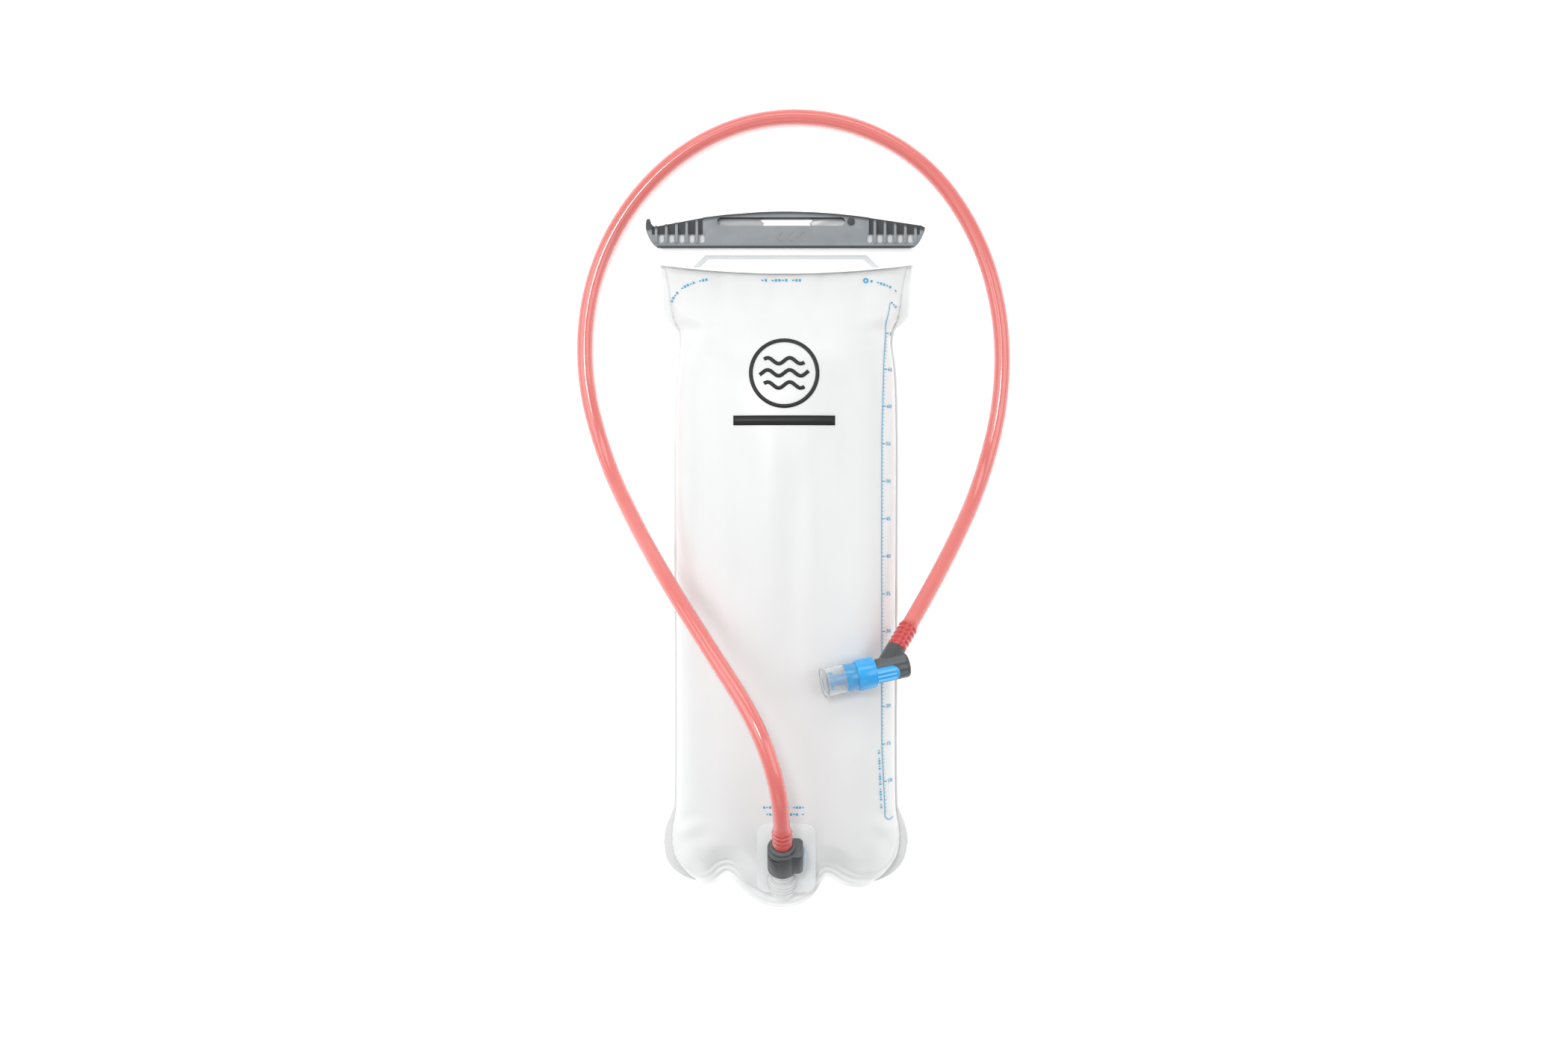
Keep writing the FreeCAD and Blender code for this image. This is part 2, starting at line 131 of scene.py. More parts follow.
def lathe(name, profile, place, material):
    """Closed outline of (radius, along) points turned about the local Z axis."""
    points, faces = [], []
    count = len(profile)
    for s in range(LATHE_SIDES):
        a = 2 * math.pi * s / LATHE_SIDES
        for radius, along in profile:
            points.append(place @ Vector((radius * math.cos(a), radius * math.sin(a), along)))
    for s in range(LATHE_SIDES):
        t = (s + 1) % LATHE_SIDES
        for i in range(count):
            j = (i + 1) % count
            faces.append((s * count + i, s * count + j, t * count + j, t * count + i))
    piece = mesh_piece(name, points, faces, material)
    closed_up(piece)
    piece.data.set_sharp_from_angle(angle=math.radians(35))
    return piece


def rounded(profile, radius):
    """Rounds the corners of a closed outline of 2D points."""
    result = []
    count = len(profile)
    for i in range(count):
        here = Vector(profile[i])
        before = Vector(profile[i - 1]) - here
        after = Vector(profile[(i + 1) % count]) - here
        reach = min(radius, before.length * 0.45, after.length * 0.45)
        start = here + before.normalized() * reach
        end = here + after.normalized() * reach
        for k in range(CORNER_STEPS + 1):
            t = k / CORNER_STEPS
            point = start * (1 - t) ** 2 + here * 2 * t * (1 - t) + end * t ** 2
            result.append(tuple(point))
    return result


def dressed(name, body, material, bevel, angle=32):
    """A copy of a frame node with merged faces and rounded edges, in the node's place."""
    source = nodes[name]
    piece = bpy.data.objects.new(name + "_finished", source.data.copy())
    bpy.context.scene.collection.objects.link(piece)
    bm = bmesh.new()
    bm.from_mesh(piece.data)
    bmesh.ops.remove_doubles(bm, verts=bm.verts, dist=0.000004)
    bmesh.ops.dissolve_limit(bm, angle_limit=math.radians(2.0), verts=bm.verts, edges=bm.edges)
    bm.to_mesh(piece.data)
    bm.free()
    piece.data.materials.clear()
    piece.data.materials.append(material)
    modifier = piece.modifiers.new("edges", "BEVEL")
    modifier.width = bevel * MM
    modifier.segments = 2
    modifier.limit_method = "ANGLE"
    modifier.angle_limit = math.radians(angle)
    modifier.use_clamp_overlap = True
    baked(piece)
    piece.data.shade_smooth()
    piece.data.set_sharp_from_angle(angle=math.radians(38))
    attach(piece, body)
    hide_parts(name)
    return piece


# ---- materials ----------------------------------------------------------------------------


def linear(colour):
    """sRGB hex colour as linear RGBA."""
    values = [int(colour[i:i + 2], 16) / 255 for i in (1, 3, 5)]
    lin = [v / 12.92 if v <= 0.04045 else ((v + 0.055) / 1.055) ** 2.4 for v in values]
    return (*lin, 1.0)


def node(tree, kind, links=None, **settings):
    """Adds one node to a tree, sets its sockets and properties, and links its inputs."""
    made = tree.nodes.new(kind)
    for key, value in settings.items():
        if hasattr(made, key):
            setattr(made, key, value)
        else:
            made.inputs[key.replace("_", " ")].default_value = value
    for socket, source in (links or {}).items():
        tree.links.new(source, made.inputs[socket])
    return made


def material(name, colour, roughness, **sockets):
    """A Principled material. Returns it with its tree and shader."""
    made = bpy.data.materials.new(name)
    made.use_nodes = True
    tree = made.node_tree
    shader = tree.nodes["Principled BSDF"]
    shader.inputs["Base Color"].default_value = linear(colour)
    shader.inputs["Roughness"].default_value = roughness
    for key, value in sockets.items():
        shader.inputs[key.replace("_", " ")].default_value = value
    return made, tree, shader


# places of the colour sockets on a Mix node, whose names repeat for each kind of value
MIX_LOW, MIX_HIGH, MIX_RESULT = 6, 7, 2


def colour_mix(tree, factor, low, high):
    """Blend of two hex colours by a factor. The low one may be a colour socket instead."""
    mix = node(tree, "ShaderNodeMix", {"Factor": factor}, data_type="RGBA")
    if isinstance(low, str):
        mix.inputs[MIX_LOW].default_value = linear(low)
    else:
        tree.links.new(low, mix.inputs[MIX_LOW])
    mix.inputs[MIX_HIGH].default_value = linear(high)
    return mix.outputs[MIX_RESULT]


def grain(tree, size, detail=2.0, stretch=(1, 1, 1)):
    """Noise whose features are size millimetres across, on object coordinates."""
    place = node(tree, "ShaderNodeTexCoord").outputs["Object"]
    turned = node(tree, "ShaderNodeMapping", {"Vector": place})
    turned.inputs["Scale"].default_value = stretch
    noise = node(tree, "ShaderNodeTexNoise", {"Vector": turned.outputs[0]}, Detail=detail)
    noise.inputs["Scale"].default_value = 1.0 / (size * MM)
    return noise.outputs["Fac"]


def bumped(tree, shader, height, distance, strength=1.0):
    """Bumps a shader's surface by a height, distance millimetres deep."""
    bump = node(tree, "ShaderNodeBump", {"Height": height}, Strength=strength)
    bump.inputs["Distance"].default_value = distance * MM
    tree.links.new(bump.outputs["Normal"], shader.inputs["Normal"])


def film_material():
    """Blown polyurethane film: milky, softly glossy, with faint flow streaks."""
    made, tree, shader = material(
        "milky_polyurethane_film", "#F2F4F4", 0.34, IOR=1.5, Transmission_Weight=0.08,
        Subsurface_Weight=0.25, Coat_Weight=0.25, Coat_Roughness=0.3)
    shader.inputs["Subsurface Radius"].default_value = (0.006, 0.006, 0.006)
    shader.inputs["Subsurface Scale"].default_value = 1.0
    cloud = grain(tree, 28.0, 3.0, (1.0, 0.45, 1.0))
    tree.links.new(colour_mix(tree, cloud, "#EFF1F1", "#FAFAFA"), shader.inputs["Base Color"])
    streak = grain(tree, 7.0, 4.0, (1.0, 0.12, 1.0))
    bumped(tree, shader, streak, 0.25, 0.5)
    return made


def weld_material():
    """The same film pressed flat and clearer where it is welded."""
    made, tree, shader = material(
        "pressed_weld_film", "#F4F6F6", 0.22, IOR=1.5, Transmission_Weight=0.12,
        Subsurface_Weight=0.15, Coat_Weight=0.3, Coat_Roughness=0.15)
    bumped(tree, shader, grain(tree, 1.2, 1.0), 0.08, 0.6)
    return made


def clear_material():
    """Injection-moulded clear polyurethane of the port."""
    made, tree, shader = material(
        "clear_moulded_polyurethane", "#F3F5F5", 0.18, IOR=1.45, Transmission_Weight=0.3,
        Coat_Weight=0.4, Coat_Roughness=0.08)
    bumped(tree, shader, grain(tree, 2.0, 1.0), 0.05, 0.5)
    return made


def silicone_material():
    """Clear liquid silicone rubber, a little cloudy."""
    made, tree, shader = material(
        "clear_silicone", "#FBFDFE", 0.12, IOR=1.2, Transmission_Weight=0.9,
        Coat_Weight=0.2, Coat_Roughness=0.15)
    bumped(tree, shader, grain(tree, 1.5, 1.0), 0.05, 0.5)
    return made


def moulded_material(name, colour, light, roughness, texture=0.45, **sockets):
    """Spark-eroded nylon: a fine even texture that softens the shine, lighter where worn."""
    made, tree, shader = material(name, colour, roughness, **sockets)
    patch = grain(tree, 9.0, 3.0)
    tree.links.new(colour_mix(tree, patch, colour, light), shader.inputs["Base Color"])
    bumped(tree, shader, grain(tree, texture, 2.0), 0.05, 0.55)
    return made


def slider_material():
    """Grey moulded nylon, with painted shade along the handle's top edge and the lower lip."""
    made = moulded_material("grey_moulded_nylon", "#7B8084", "#8D9296", 0.42)
    tree = made.node_tree
    shader = tree.nodes["Principled BSDF"]
    body = shader.inputs["Base Color"].links[0].from_socket
    # painted shade: the colour darkens towards the top edge of the arched handle and along the
    # lower lip
    place = node(tree, "ShaderNodeSeparateXYZ",
                 {"Vector": node(tree, "ShaderNodeTexCoord").outputs["Object"]})
    square = node(tree, "ShaderNodeMath", {0: place.outputs["X"], 1: place.outputs["X"]},
                  operation="MULTIPLY")
    arch = node(tree, "ShaderNodeMath", {0: square.outputs[0], 2: place.outputs["Y"]},
                operation="MULTIPLY_ADD")
    arch.inputs[1].default_value = HANDLE_BOW
    top = node(tree, "ShaderNodeMapRange", {"Value": arch.outputs[0]})
    top.inputs["From Min"].default_value = (HANDLE_TOP - 2.6) * MM
    top.inputs["From Max"].default_value = (HANDLE_TOP - 0.9) * MM
    lip = node(tree, "ShaderNodeMapRange", {"Value": place.outputs["Y"]})
    lip.inputs["From Min"].default_value = (SLIDER_FOOT + 1.5) * MM
    lip.inputs["From Max"].default_value = (SLIDER_FOOT + 0.9) * MM
    edges = node(tree, "ShaderNodeMath", {0: top.outputs["Result"], 1: lip.outputs["Result"]},
                 operation="MAXIMUM")
    # 3A3E40 is the colour of the painted shade
    tree.links.new(colour_mix(tree, edges.outputs[0], body, "#3A3E40"),
                   shader.inputs["Base Color"])
    return made


def tube_material():
    """Extruded translucent red polyurethane, deeper where it is stretched over a barb."""
    made, tree, shader = material(
        "red_polyurethane_tube", "#F58E88", 0.16, IOR=1.5, Transmission_Weight=0.2,
        Subsurface_Weight=0.3, Coat_Weight=0.8, Coat_Roughness=0.12)
    shader.inputs["Subsurface Radius"].default_value = (0.004, 0.0015, 0.0015)
    shader.inputs["Subsurface Scale"].default_value = 1.0
    place = node(tree, "ShaderNodeAttribute", attribute_name="over_barb")
    tree.links.new(colour_mix(tree, place.outputs["Fac"], "#F2847E", "#CB1512"),
                   shader.inputs["Base Color"])
    return made


def steel_material():
    """Drawn stainless spring wire, with fine lines along it."""
    made, tree, shader = material("spring_wire_steel", "#B9BBBD", 0.28, Metallic=1.0)
    bumped(tree, shader, grain(tree, 0.4, 1.0, (1, 1, 0.1)), 0.01, 0.5)
    return made


def print_material(name, colour):
    """Screen-printed ink, thin and slightly matt."""
    made, tree, shader = material(name, colour, 0.45)
    bumped(tree, shader, grain(tree, 0.6, 1.0), 0.02, 0.4)
    return made


FILM = film_material()
WELD = weld_material()
CLEAR = clear_material()
SILICONE = silicone_material()
SLIDER_GREY = slider_material()
# dark nylon of the tether pin, also used as painted shade in the slider's recesses and in the bite
# sheath's slit
SHADE_AND_DARK_NYLON = moulded_material("dark_nylon_and_painted_shade", "#2C2F31", "#3A3D40", 0.5)
# painted light: a lighter copy of the slider's grey for the lit webs at the back of the slot
WEB_PAINTED_LIGHT = moulded_material("slot_web_painted_light", "#D2D5D6", "#E2E4E5", 0.25)
CHARCOAL = moulded_material("charcoal_moulded_nylon", "#2B2D2E", "#36393A", 0.38)
# lighter copy of the charcoal: the coupling collar's colour, and a painted highlight on the
# coupling's end face and the elbow's saddle
SATIN_CHARCOAL_AND_HIGHLIGHT = moulded_material("charcoal_satin_and_painted_highlight", "#54585B", "#5F6468", 0.42)
ELBOW_GREY = moulded_material("elbow_moulded_nylon", "#3C4141", "#4C5151", 0.34)
BLUE = moulded_material("blue_gloss_nylon", "#1F97DC", "#3AABE8", 0.22, 0.8, Coat_Weight=0.5)
# painted highlight: a lighter copy of the blue nylon for the ridge tops
BLUE_RIDGE_HIGHLIGHT = moulded_material("blue_ridge_painted_highlight", "#63BDFA", "#7ECBFC", 0.2, 0.8, Coat_Weight=0.5)
BLUE_CORE = moulded_material("blue_clear_core", "#47B4F2", "#6CC8F8", 0.16, 0.8,
                             Transmission_Weight=0.45, Coat_Weight=0.4)
BUTTON = moulded_material("blue_grey_button", "#9FB0C3", "#B3C2D2", 0.35)
WHITE = moulded_material("white_acetal", "#F2F2F0", "#FBFBFA", 0.35)
# grey of the flap's stiffener strip, also used as painted shade on the port patch's rim
BAND_AND_RIM_SHADE = moulded_material("grey_strip_and_rim_shade", "#CBCECF", "#D7D9DA", 0.5)
# black nitrile rubber of the o-rings and seal, also used as painted shade in the coupling's
# grooves
BLACK_RUBBER_AND_SHADE = moulded_material("black_rubber_and_groove_shade", "#141414", "#1E1E1E", 0.6)
PATCH = moulded_material("clear_patch_film", "#DDE0E0", "#E6E9E9", 0.25, 3.0, Coat_Weight=0.3)
FLAP = moulded_material("white_flap_film", "#F1F2F2", "#FAFAFA", 0.4, 3.0)
TUBE = tube_material()
INK_BLUE = print_material("blue_film_ink", "#3FA9D0")
INK_BLACK = print_material("black_film_ink", "#101010")
STEEL = steel_material()

# ---- pieces that repeat -------------------------------------------------------------------


def new_tree(name, inputs):
    """Geometry Nodes tree with named inputs. Returns it with its input and output nodes."""
    tree = bpy.data.node_groups.new(name, "GeometryNodeTree")
    tree.interface.new_socket("Geometry", in_out="INPUT", socket_type="NodeSocketGeometry")
    for label, kind in inputs.items():
        tree.interface.new_socket(label, in_out="INPUT", socket_type=kind)
    tree.interface.new_socket("Geometry", in_out="OUTPUT", socket_type="NodeSocketGeometry")
    return tree, node(tree, "NodeGroupInput"), node(tree, "NodeGroupOutput")


def realized(tree, copies, entry, result):
    """Ends a tree: its instances become mesh in the finish that the tree is given."""
    solid = node(tree, "GeometryNodeRealizeInstances", {"Geometry": copies})
    coated = node(tree, "GeometryNodeSetMaterial", {"Geometry": solid.outputs["Geometry"],
                                                    "Material": entry.outputs["Finish"]})
    tree.links.new(coated.outputs["Geometry"], result.inputs["Geometry"])


def row_tree():
    """Copies of a piece in a straight row."""
    tree, entry, result = new_tree("row_of_copies", {
        "Count": "NodeSocketInt", "Spacing": "NodeSocketVector", "Finish": "NodeSocketMaterial"})
    row = node(tree, "GeometryNodeMeshLine", {"Count": entry.outputs["Count"],
                                              "Offset": entry.outputs["Spacing"]})
    copies = node(tree, "GeometryNodeInstanceOnPoints", {
        "Points": row.outputs["Mesh"], "Instance": entry.outputs["Geometry"]})
    realized(tree, copies.outputs["Instances"], entry, result)
    return tree


def tick_tree():
    """A flat tick on each point: a long one at every label, and a middling one half-way."""
    tree, entry, result = new_tree("scale_ticks", {
        "Ticks per Label": "NodeSocketInt", "Long Tick": "NodeSocketVector",
        "Middle Tick": "NodeSocketVector", "Short Tick": "NodeSocketVector",
        "Finish": "NodeSocketMaterial"})
    per_label = entry.outputs["Ticks per Label"]
    index = node(tree, "GeometryNodeInputIndex").outputs["Index"]
    past_label = node(tree, "ShaderNodeMath", {0: index, 1: per_label}, operation="MODULO")
    half = node(tree, "ShaderNodeMath", {0: per_label}, operation="MULTIPLY")
    half.inputs[1].default_value = 0.5
    at_label = node(tree, "FunctionNodeCompare", {"A": past_label.outputs[0]},
                    operation="EQUAL")
    at_half = node(tree, "FunctionNodeCompare",
                   {"A": past_label.outputs[0], "B": half.outputs[0]}, operation="EQUAL")
    shorter = node(tree, "GeometryNodeSwitch", input_type="VECTOR")
    tree.links.new(at_half.outputs["Result"], shorter.inputs["Switch"])
    tree.links.new(entry.outputs["Short Tick"], shorter.inputs["False"])
    tree.links.new(entry.outputs["Middle Tick"], shorter.inputs["True"])
    size = node(tree, "GeometryNodeSwitch", input_type="VECTOR")
    tree.links.new(at_label.outputs["Result"], size.inputs["Switch"])
    tree.links.new(shorter.outputs["Output"], size.inputs["False"])
    tree.links.new(entry.outputs["Long Tick"], size.inputs["True"])
    tick = node(tree, "GeometryNodeMeshGrid", Size_X=1.0, Size_Y=1.0, Vertices_X=3,
                Vertices_Y=2)
    copies = node(tree, "GeometryNodeInstanceOnPoints", {
        "Points": entry.outputs["Geometry"], "Instance": tick.outputs["Mesh"],
        "Scale": size.outputs["Output"]})
    realized(tree, copies.outputs["Instances"], entry, result)
    return tree


def grown(piece, tree, values):
    """Runs a tree on a piece with its named inputs set, and keeps the result as its mesh."""
    modifier = piece.modifiers.new("grow", "NODES")
    modifier.node_group = tree
    for item in tree.interface.items_tree:
        if item.in_out == "INPUT" and item.name in values:
            modifier[item.identifier] = values[item.name]
    return baked(piece)


# ---- camera, floor and light --------------------------------------------------------------

CAMERA_AT = (-1.1, 19.2, 1300.0)
CAMERA_LENS = 49.1
FLOOR_HALF = 4000.0
FLOOR_TOP = -0.3               # just under what the bladder lies on


def camera():
    """Looks straight down on the front film."""
    data = bpy.data.cameras.new("camera")
    data.lens = CAMERA_LENS
    data.sensor_width = 36.0
    data.clip_end = 20.0
    piece = bpy.data.objects.new("camera", data)
    piece.location = Vector(CAMERA_AT) * MM
    bpy.context.scene.collection.objects.link(piece)
    bpy.context.scene.camera = piece


def floor():
    """White studio sweep, lit a little from within so that it stays white."""
    made, tree, shader = material("white_studio_floor", "#FFFFFF", 0.9)
    shader.inputs["Specular IOR Level"].default_value = 0.1
    shader.inputs["Emission Color"].default_value = (1, 1, 1, 1)
    shader.inputs["Emission Strength"].default_value = 0.3
    corners = [(-1, -1), (1, -1), (1, 1), (-1, 1)]
    points = [(x * FLOOR_HALF, y * FLOOR_HALF, FLOOR_TOP) for x, y in corners]
    piece = mesh_piece("studio_floor", points, [(0, 1, 2, 3)], made, smooth=False)


LIGHTS_AIM = (0, 0, 30)


def soft_box(name, at, size, power):
    """Area light of a size in metres, aimed at the middle of the bladder."""
    data = bpy.data.lights.new(name, "AREA")
    data.shape = "RECTANGLE"
    data.size, data.size_y = size
    data.energy = power
    piece = bpy.data.objects.new(name, data)
    piece.location = Vector(at) * MM
    aim = Vector(LIGHTS_AIM) * MM - piece.location
    piece.rotation_mode = "QUATERNION"
    piece.rotation_quaternion = aim.to_track_quat("-Z", "Y")
    bpy.context.scene.collection.objects.link(piece)


def lights():
    """Dim world that brightens to white at the horizon, and soft boxes on every side."""
    world = bpy.data.worlds.new("studio")
    world.use_nodes = True
    tree = world.node_tree
    height = node(tree, "ShaderNodeSeparateXYZ",
                  {"Vector": node(tree, "ShaderNodeTexCoord").outputs["Generated"]})
    rise = node(tree, "ShaderNodeMapRange", {"Value": height.outputs["Z"]})
    rise.inputs["From Min"].default_value = 0.05
    rise.inputs["From Max"].default_value = 0.45
    rise.inputs["To Min"].default_value = 1.0
    rise.inputs["To Max"].default_value = 0.44
    tree.links.new(rise.outputs["Result"], tree.nodes["Background"].inputs["Strength"])
    tree.nodes["Background"].inputs["Color"].default_value = (1, 1, 1, 1)
    bpy.context.scene.world = world
    bpy.context.scene.view_settings.view_transform = "Standard"
    soft_box("box_left", (-1300, 300, 1300), (1.2, 1.6), 11.5)
    soft_box("box_right", (1300, 200, 1400), (1.0, 1.6), 8.5)
    soft_box("box_mouth", (0, 1600, 1500), (1.8, 0.8), 9)
    soft_box("box_foot", (0, -1500, 1300), (1.8, 0.8), 2.5)
    soft_box("key_spot", (-260, 420, 1750), (0.25, 0.25), 7)


camera()
floor()
lights()

# ---- drink tube ---------------------------------------------------------------------------

# the port's axis leans 45 degrees from upright towards the mouth
PORT_AT = Vector((-2.0, -185.5, 75.9))
PORT_TURN = Matrix.Rotation(math.radians(-45.0), 4, "X")
PORT = Matrix.Translation(PORT_AT) @ PORT_TURN
PORT_DIR = (PORT_TURN @ Vector((0, 0, 1))).normalized()
COUPLING_END = 31.0            # from the port's root to the coupling's end, along the axis

# the bite valve's two ends, and the branch that the tube is pushed on
VALVE_RIGHT = Vector((69.6, -61.5, 83.9))
VALVE_LEFT = Vector((20.8, -71.4, 92.9))
VALVE_DIR = (VALVE_LEFT - VALVE_RIGHT).normalized()
VALVE_L = (VALVE_LEFT - VALVE_RIGHT).length
BRANCH_DIR = Vector((0.487, 0.75, -0.447)).normalized()
BRANCH_ROOT = VALVE_RIGHT + VALVE_DIR * 15.0
BRANCH_L = 16.0


def axes_matrix(origin, along, up):
    """Local Z runs along, local Y as near to up as it can."""
    y = (up - along * up.dot(along)).normalized()
    x = y.cross(along)
    return Matrix.Translation(origin) @ Matrix((x, y, along)).transposed().to_4x4()


VALVE = axes_matrix(VALVE_RIGHT, VALVE_DIR, Vector((0, 0, 1)))

TUBE_START = PORT_AT + PORT_DIR * COUPLING_END
TUBE_END = BRANCH_ROOT + BRANCH_DIR * BRANCH_L
LYING_Z = 4.8                  # middle of the tube where it lies on the surface
ROUTE = [
    TUBE_START,
    TUBE_START + PORT_DIR * 26.0,
    Vector((-6, -119, 125)),
    Vector((-18, -88, 121)),
    Vector((-44, -50, 102)),
    Vector((-69, -13, 76)),
    Vector((-89, 19, 41)),
    Vector((-109, 57, 11)),
    Vector((-123, 107, LYING_Z)),
    Vector((-120, 160, LYING_Z)),
    Vector((-99, 208, LYING_Z)),
    Vector((-62, 246, LYING_Z)),
    Vector((-14, 266, LYING_Z)),
    Vector((39, 263, LYING_Z)),
    Vector((85, 238, LYING_Z)),
    Vector((116, 195, LYING_Z)),
    Vector((131, 145, LYING_Z)),
    Vector((131, 93, LYING_Z)),
    Vector((118, 43, 9)),
    Vector((98, 4, 38)),
    TUBE_END + BRANCH_DIR * 25.9,
    TUBE_END,
]
TUBE_R = 4.75
TUBE_BORE_R = 3.2
TUBE_SIDES = 28
TUBE_STEP = 0.8                # between the rings of points along the tube
BARB_L = 16.0
BARB_SWELL = 0.75              # how much the barb widens the tube
BARB_PITCH = 3.2               # between the barb's rings
BARB_WAVE = 0.32               # how far its rings show through
FLUSH_L = 44.0                 # stretch of deeper red before the coupling


def route_points():
    """Points along the smooth line of the route, in millimetres."""
    curve = bpy.data.curves.new("tube_route", "CURVE")
    curve.dimensions = "3D"
    spline = curve.splines.new("NURBS")
    spline.points.add(len(ROUTE) - 1)
    for point, place in zip(spline.points, ROUTE):
        point.co = (*(place * MM), 1.0)
    spline.order_u = 3
    spline.use_endpoint_u = True
    spline.resolution_u = 24
    holder = bpy.data.objects.new("tube_route", curve)
    bpy.context.scene.collection.objects.link(holder)
    graph = bpy.context.evaluated_depsgraph_get()
    mesh = bpy.data.meshes.new_from_object(holder.evaluated_get(graph))
    points = [v.co / MM for v in mesh.vertices]
    bpy.data.objects.remove(holder)
    return points


def even_points(points, step):
    """The same line with points step apart."""
    points = np.array([tuple(p) for p in points])
    gaps = np.linalg.norm(np.diff(points, axis=0), axis=1)
    keep = np.concatenate([[True], gaps > 1e-6])
    points = points[keep]
    gaps = np.linalg.norm(np.diff(points, axis=0), axis=1)
    along = np.concatenate([[0.0], np.cumsum(gaps)])
    count = int(round(along[-1] / step)) + 1
    places = np.linspace(0.0, along[-1], count)
    line = np.stack([np.interp(places, along, points[:, k]) for k in range(3)], axis=1)
    return [Vector(p) for p in line], places


def drink_tube():
    """Hollow tube that swells over the barb at each end, with the barb's rings showing."""
    line, places = even_points(route_points(), TUBE_STEP)
    total = places[-1]
    sides = TUBE_SIDES
    outer, inner, shade = [], [], []
    side = Vector((1, 0, 0))
    for i, (centre, place) in enumerate(zip(line, places)):
        ahead = (line[min(i + 1, len(line) - 1)] - line[max(i - 1, 0)]).normalized()
        side = (side - ahead * side.dot(ahead)).normalized()
        up = ahead.cross(side)
        from_end = min(place, total - place)
        over = min(1.0, max(0.0, (BARB_L + 3.0 - from_end) / 4.0))
        wave = 0.0
        if TUBE_STEP < from_end < BARB_L:
            wave = math.cos(2 * math.pi * (from_end / BARB_PITCH - 0.5))
        radius = TUBE_R + BARB_SWELL * eased(over) + BARB_WAVE * wave * over
        deep = min(1.0, max(0.0, (BARB_L + FLUSH_L - from_end) / FLUSH_L))
        shade.append(max(0.45 * deep * (place < total / 2), over * (0.84 + 0.16 * wave)))
        for s in range(sides):
            a = 2 * math.pi * s / sides
            way = side * math.cos(a) + up * math.sin(a)
            outer.append(centre + way * radius)
            inner.append(centre + way * TUBE_BORE_R)
    rows = len(line)
    count = rows * sides
    faces = grid_faces(rows, sides, wrap=True)
    faces += [tuple(count + v for v in f[::-1]) for f in grid_faces(rows, sides, wrap=True)]
    for r, flip in ((0, True), (rows - 1, False)):
        for s in range(sides):
            t = (s + 1) % sides
            quad = (r * sides + s, r * sides + t, count + r * sides + t, count + r * sides + s)
            faces.append(quad[::-1] if flip else quad)
    piece = mesh_piece("drink_tube_red", outer + inner, faces, TUBE)
    closed_up(piece)
    rings = np.repeat(np.array(shade, np.float32), sides)
    attribute = piece.data.attributes.new("over_barb", "FLOAT", "POINT")
    attribute.data.foreach_set("value", np.concatenate([rings, rings]))
    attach(piece, "hose")
    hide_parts("drink_tube")
    return piece, line, total


tube, tube_line, tube_length = drink_tube()

# ---- film bladder -------------------------------------------------------------------------

# keys from mouth to bottom, each y and a value there: half width of the welded outline, half
# width of the filled part, height of the front, of the back and of the side seams
OUTLINE_HALF = [(190, 75), (177, 75), (168, 73.8), (158, 72.6), (148, 72), (142, 71.6), (137, 68),
                (132, 63.4), (125, 62.4), (112, 64), (95, 65), (60, 65.4), (0, 65.2), (-60, 65),
                (-110, 64.8), (-138, 65), (-147, 65.4), (-153, 67.6), (-160, 70.2), (-166, 71.2),
                (-172, 71.6)]
FILL_HALF = [(190, 73.5), (177, 73), (168, 71), (158, 69), (148, 67.6), (140, 66), (132, 62.4),
             (125, 61.6), (112, 63.2), (95, 64.2), (60, 64.6), (0, 64.4), (-110, 64), (-138, 64.2),
             (-149, 64.6), (-158, 66.2), (-166, 66.9), (-174, 66.0), (-180, 63.4), (-186, 58.5),
             (-192, 51), (-200, 42)]
TOP_Z = [(190, 33.2), (177, 33.4), (168, 39.2), (158, 46.5), (145, 59), (130, 70.5), (112, 78.6),
         (90, 81.6), (60, 82), (-110, 82), (-150, 80), (-172, 77.4), (-195, 75), (-210, 73)]
LOW_Z = [(190, 30.8), (177, 30.6), (168, 25), (158, 19), (145, 11), (130, 4), (112, 0.6), (95, 0),
         (-150, 0), (-175, 1.2), (-195, 3), (-210, 4)]
SIDE_Z = [(190, 32), (177, 32), (145, 35), (110, 39), (60, 41), (-150, 40), (-195, 38), (-210, 37)]
TOP_ROUND = 2.6                # superellipse power of the front film's cross-section
LOW_ROUND = 3.6                # flatter where the film lies on the surface

# lower edge of the film from the left ear round the three lobes to the right ear
BOTTOM_EDGE = [
    (-71.6, -172), (-70.4, -178.5), (-67, -184), (-62, -188), (-56, -190.8), (-50, -191.8),
    (-44, -190.6), (-39, -187.6), (-35.5, -184.2), (-33, -184), (-30.5, -186), (-26, -191.5),
    (-20, -196.8), (-12, -201), (-2, -202.6), (8, -200.8), (15, -196), (19, -190.5),
    (21.5, -186.3), (23.5, -184.6), (26.5, -185.6), (32, -189), (39, -191.8), (46, -192.8),
    (53, -192), (60, -189), (65.5, -184.8), (69.6, -179), (71.6, -172)]
EAR_X, EAR_Y = 71.6, -172.0    # where the sides end and the lower edge begins
MOUTH_Y = 189.0
PANEL_ROWS = 270
PANEL_COLUMNS = 141
EAR_SHARE = 0.86               # share of a panel's rows that are above the ears
GUSSET_ROWS = 28
GUSSET_DEPTH = 16.0
GUSSET_INSIDE = 10             # rows of the panels below the gusset, its welded margin


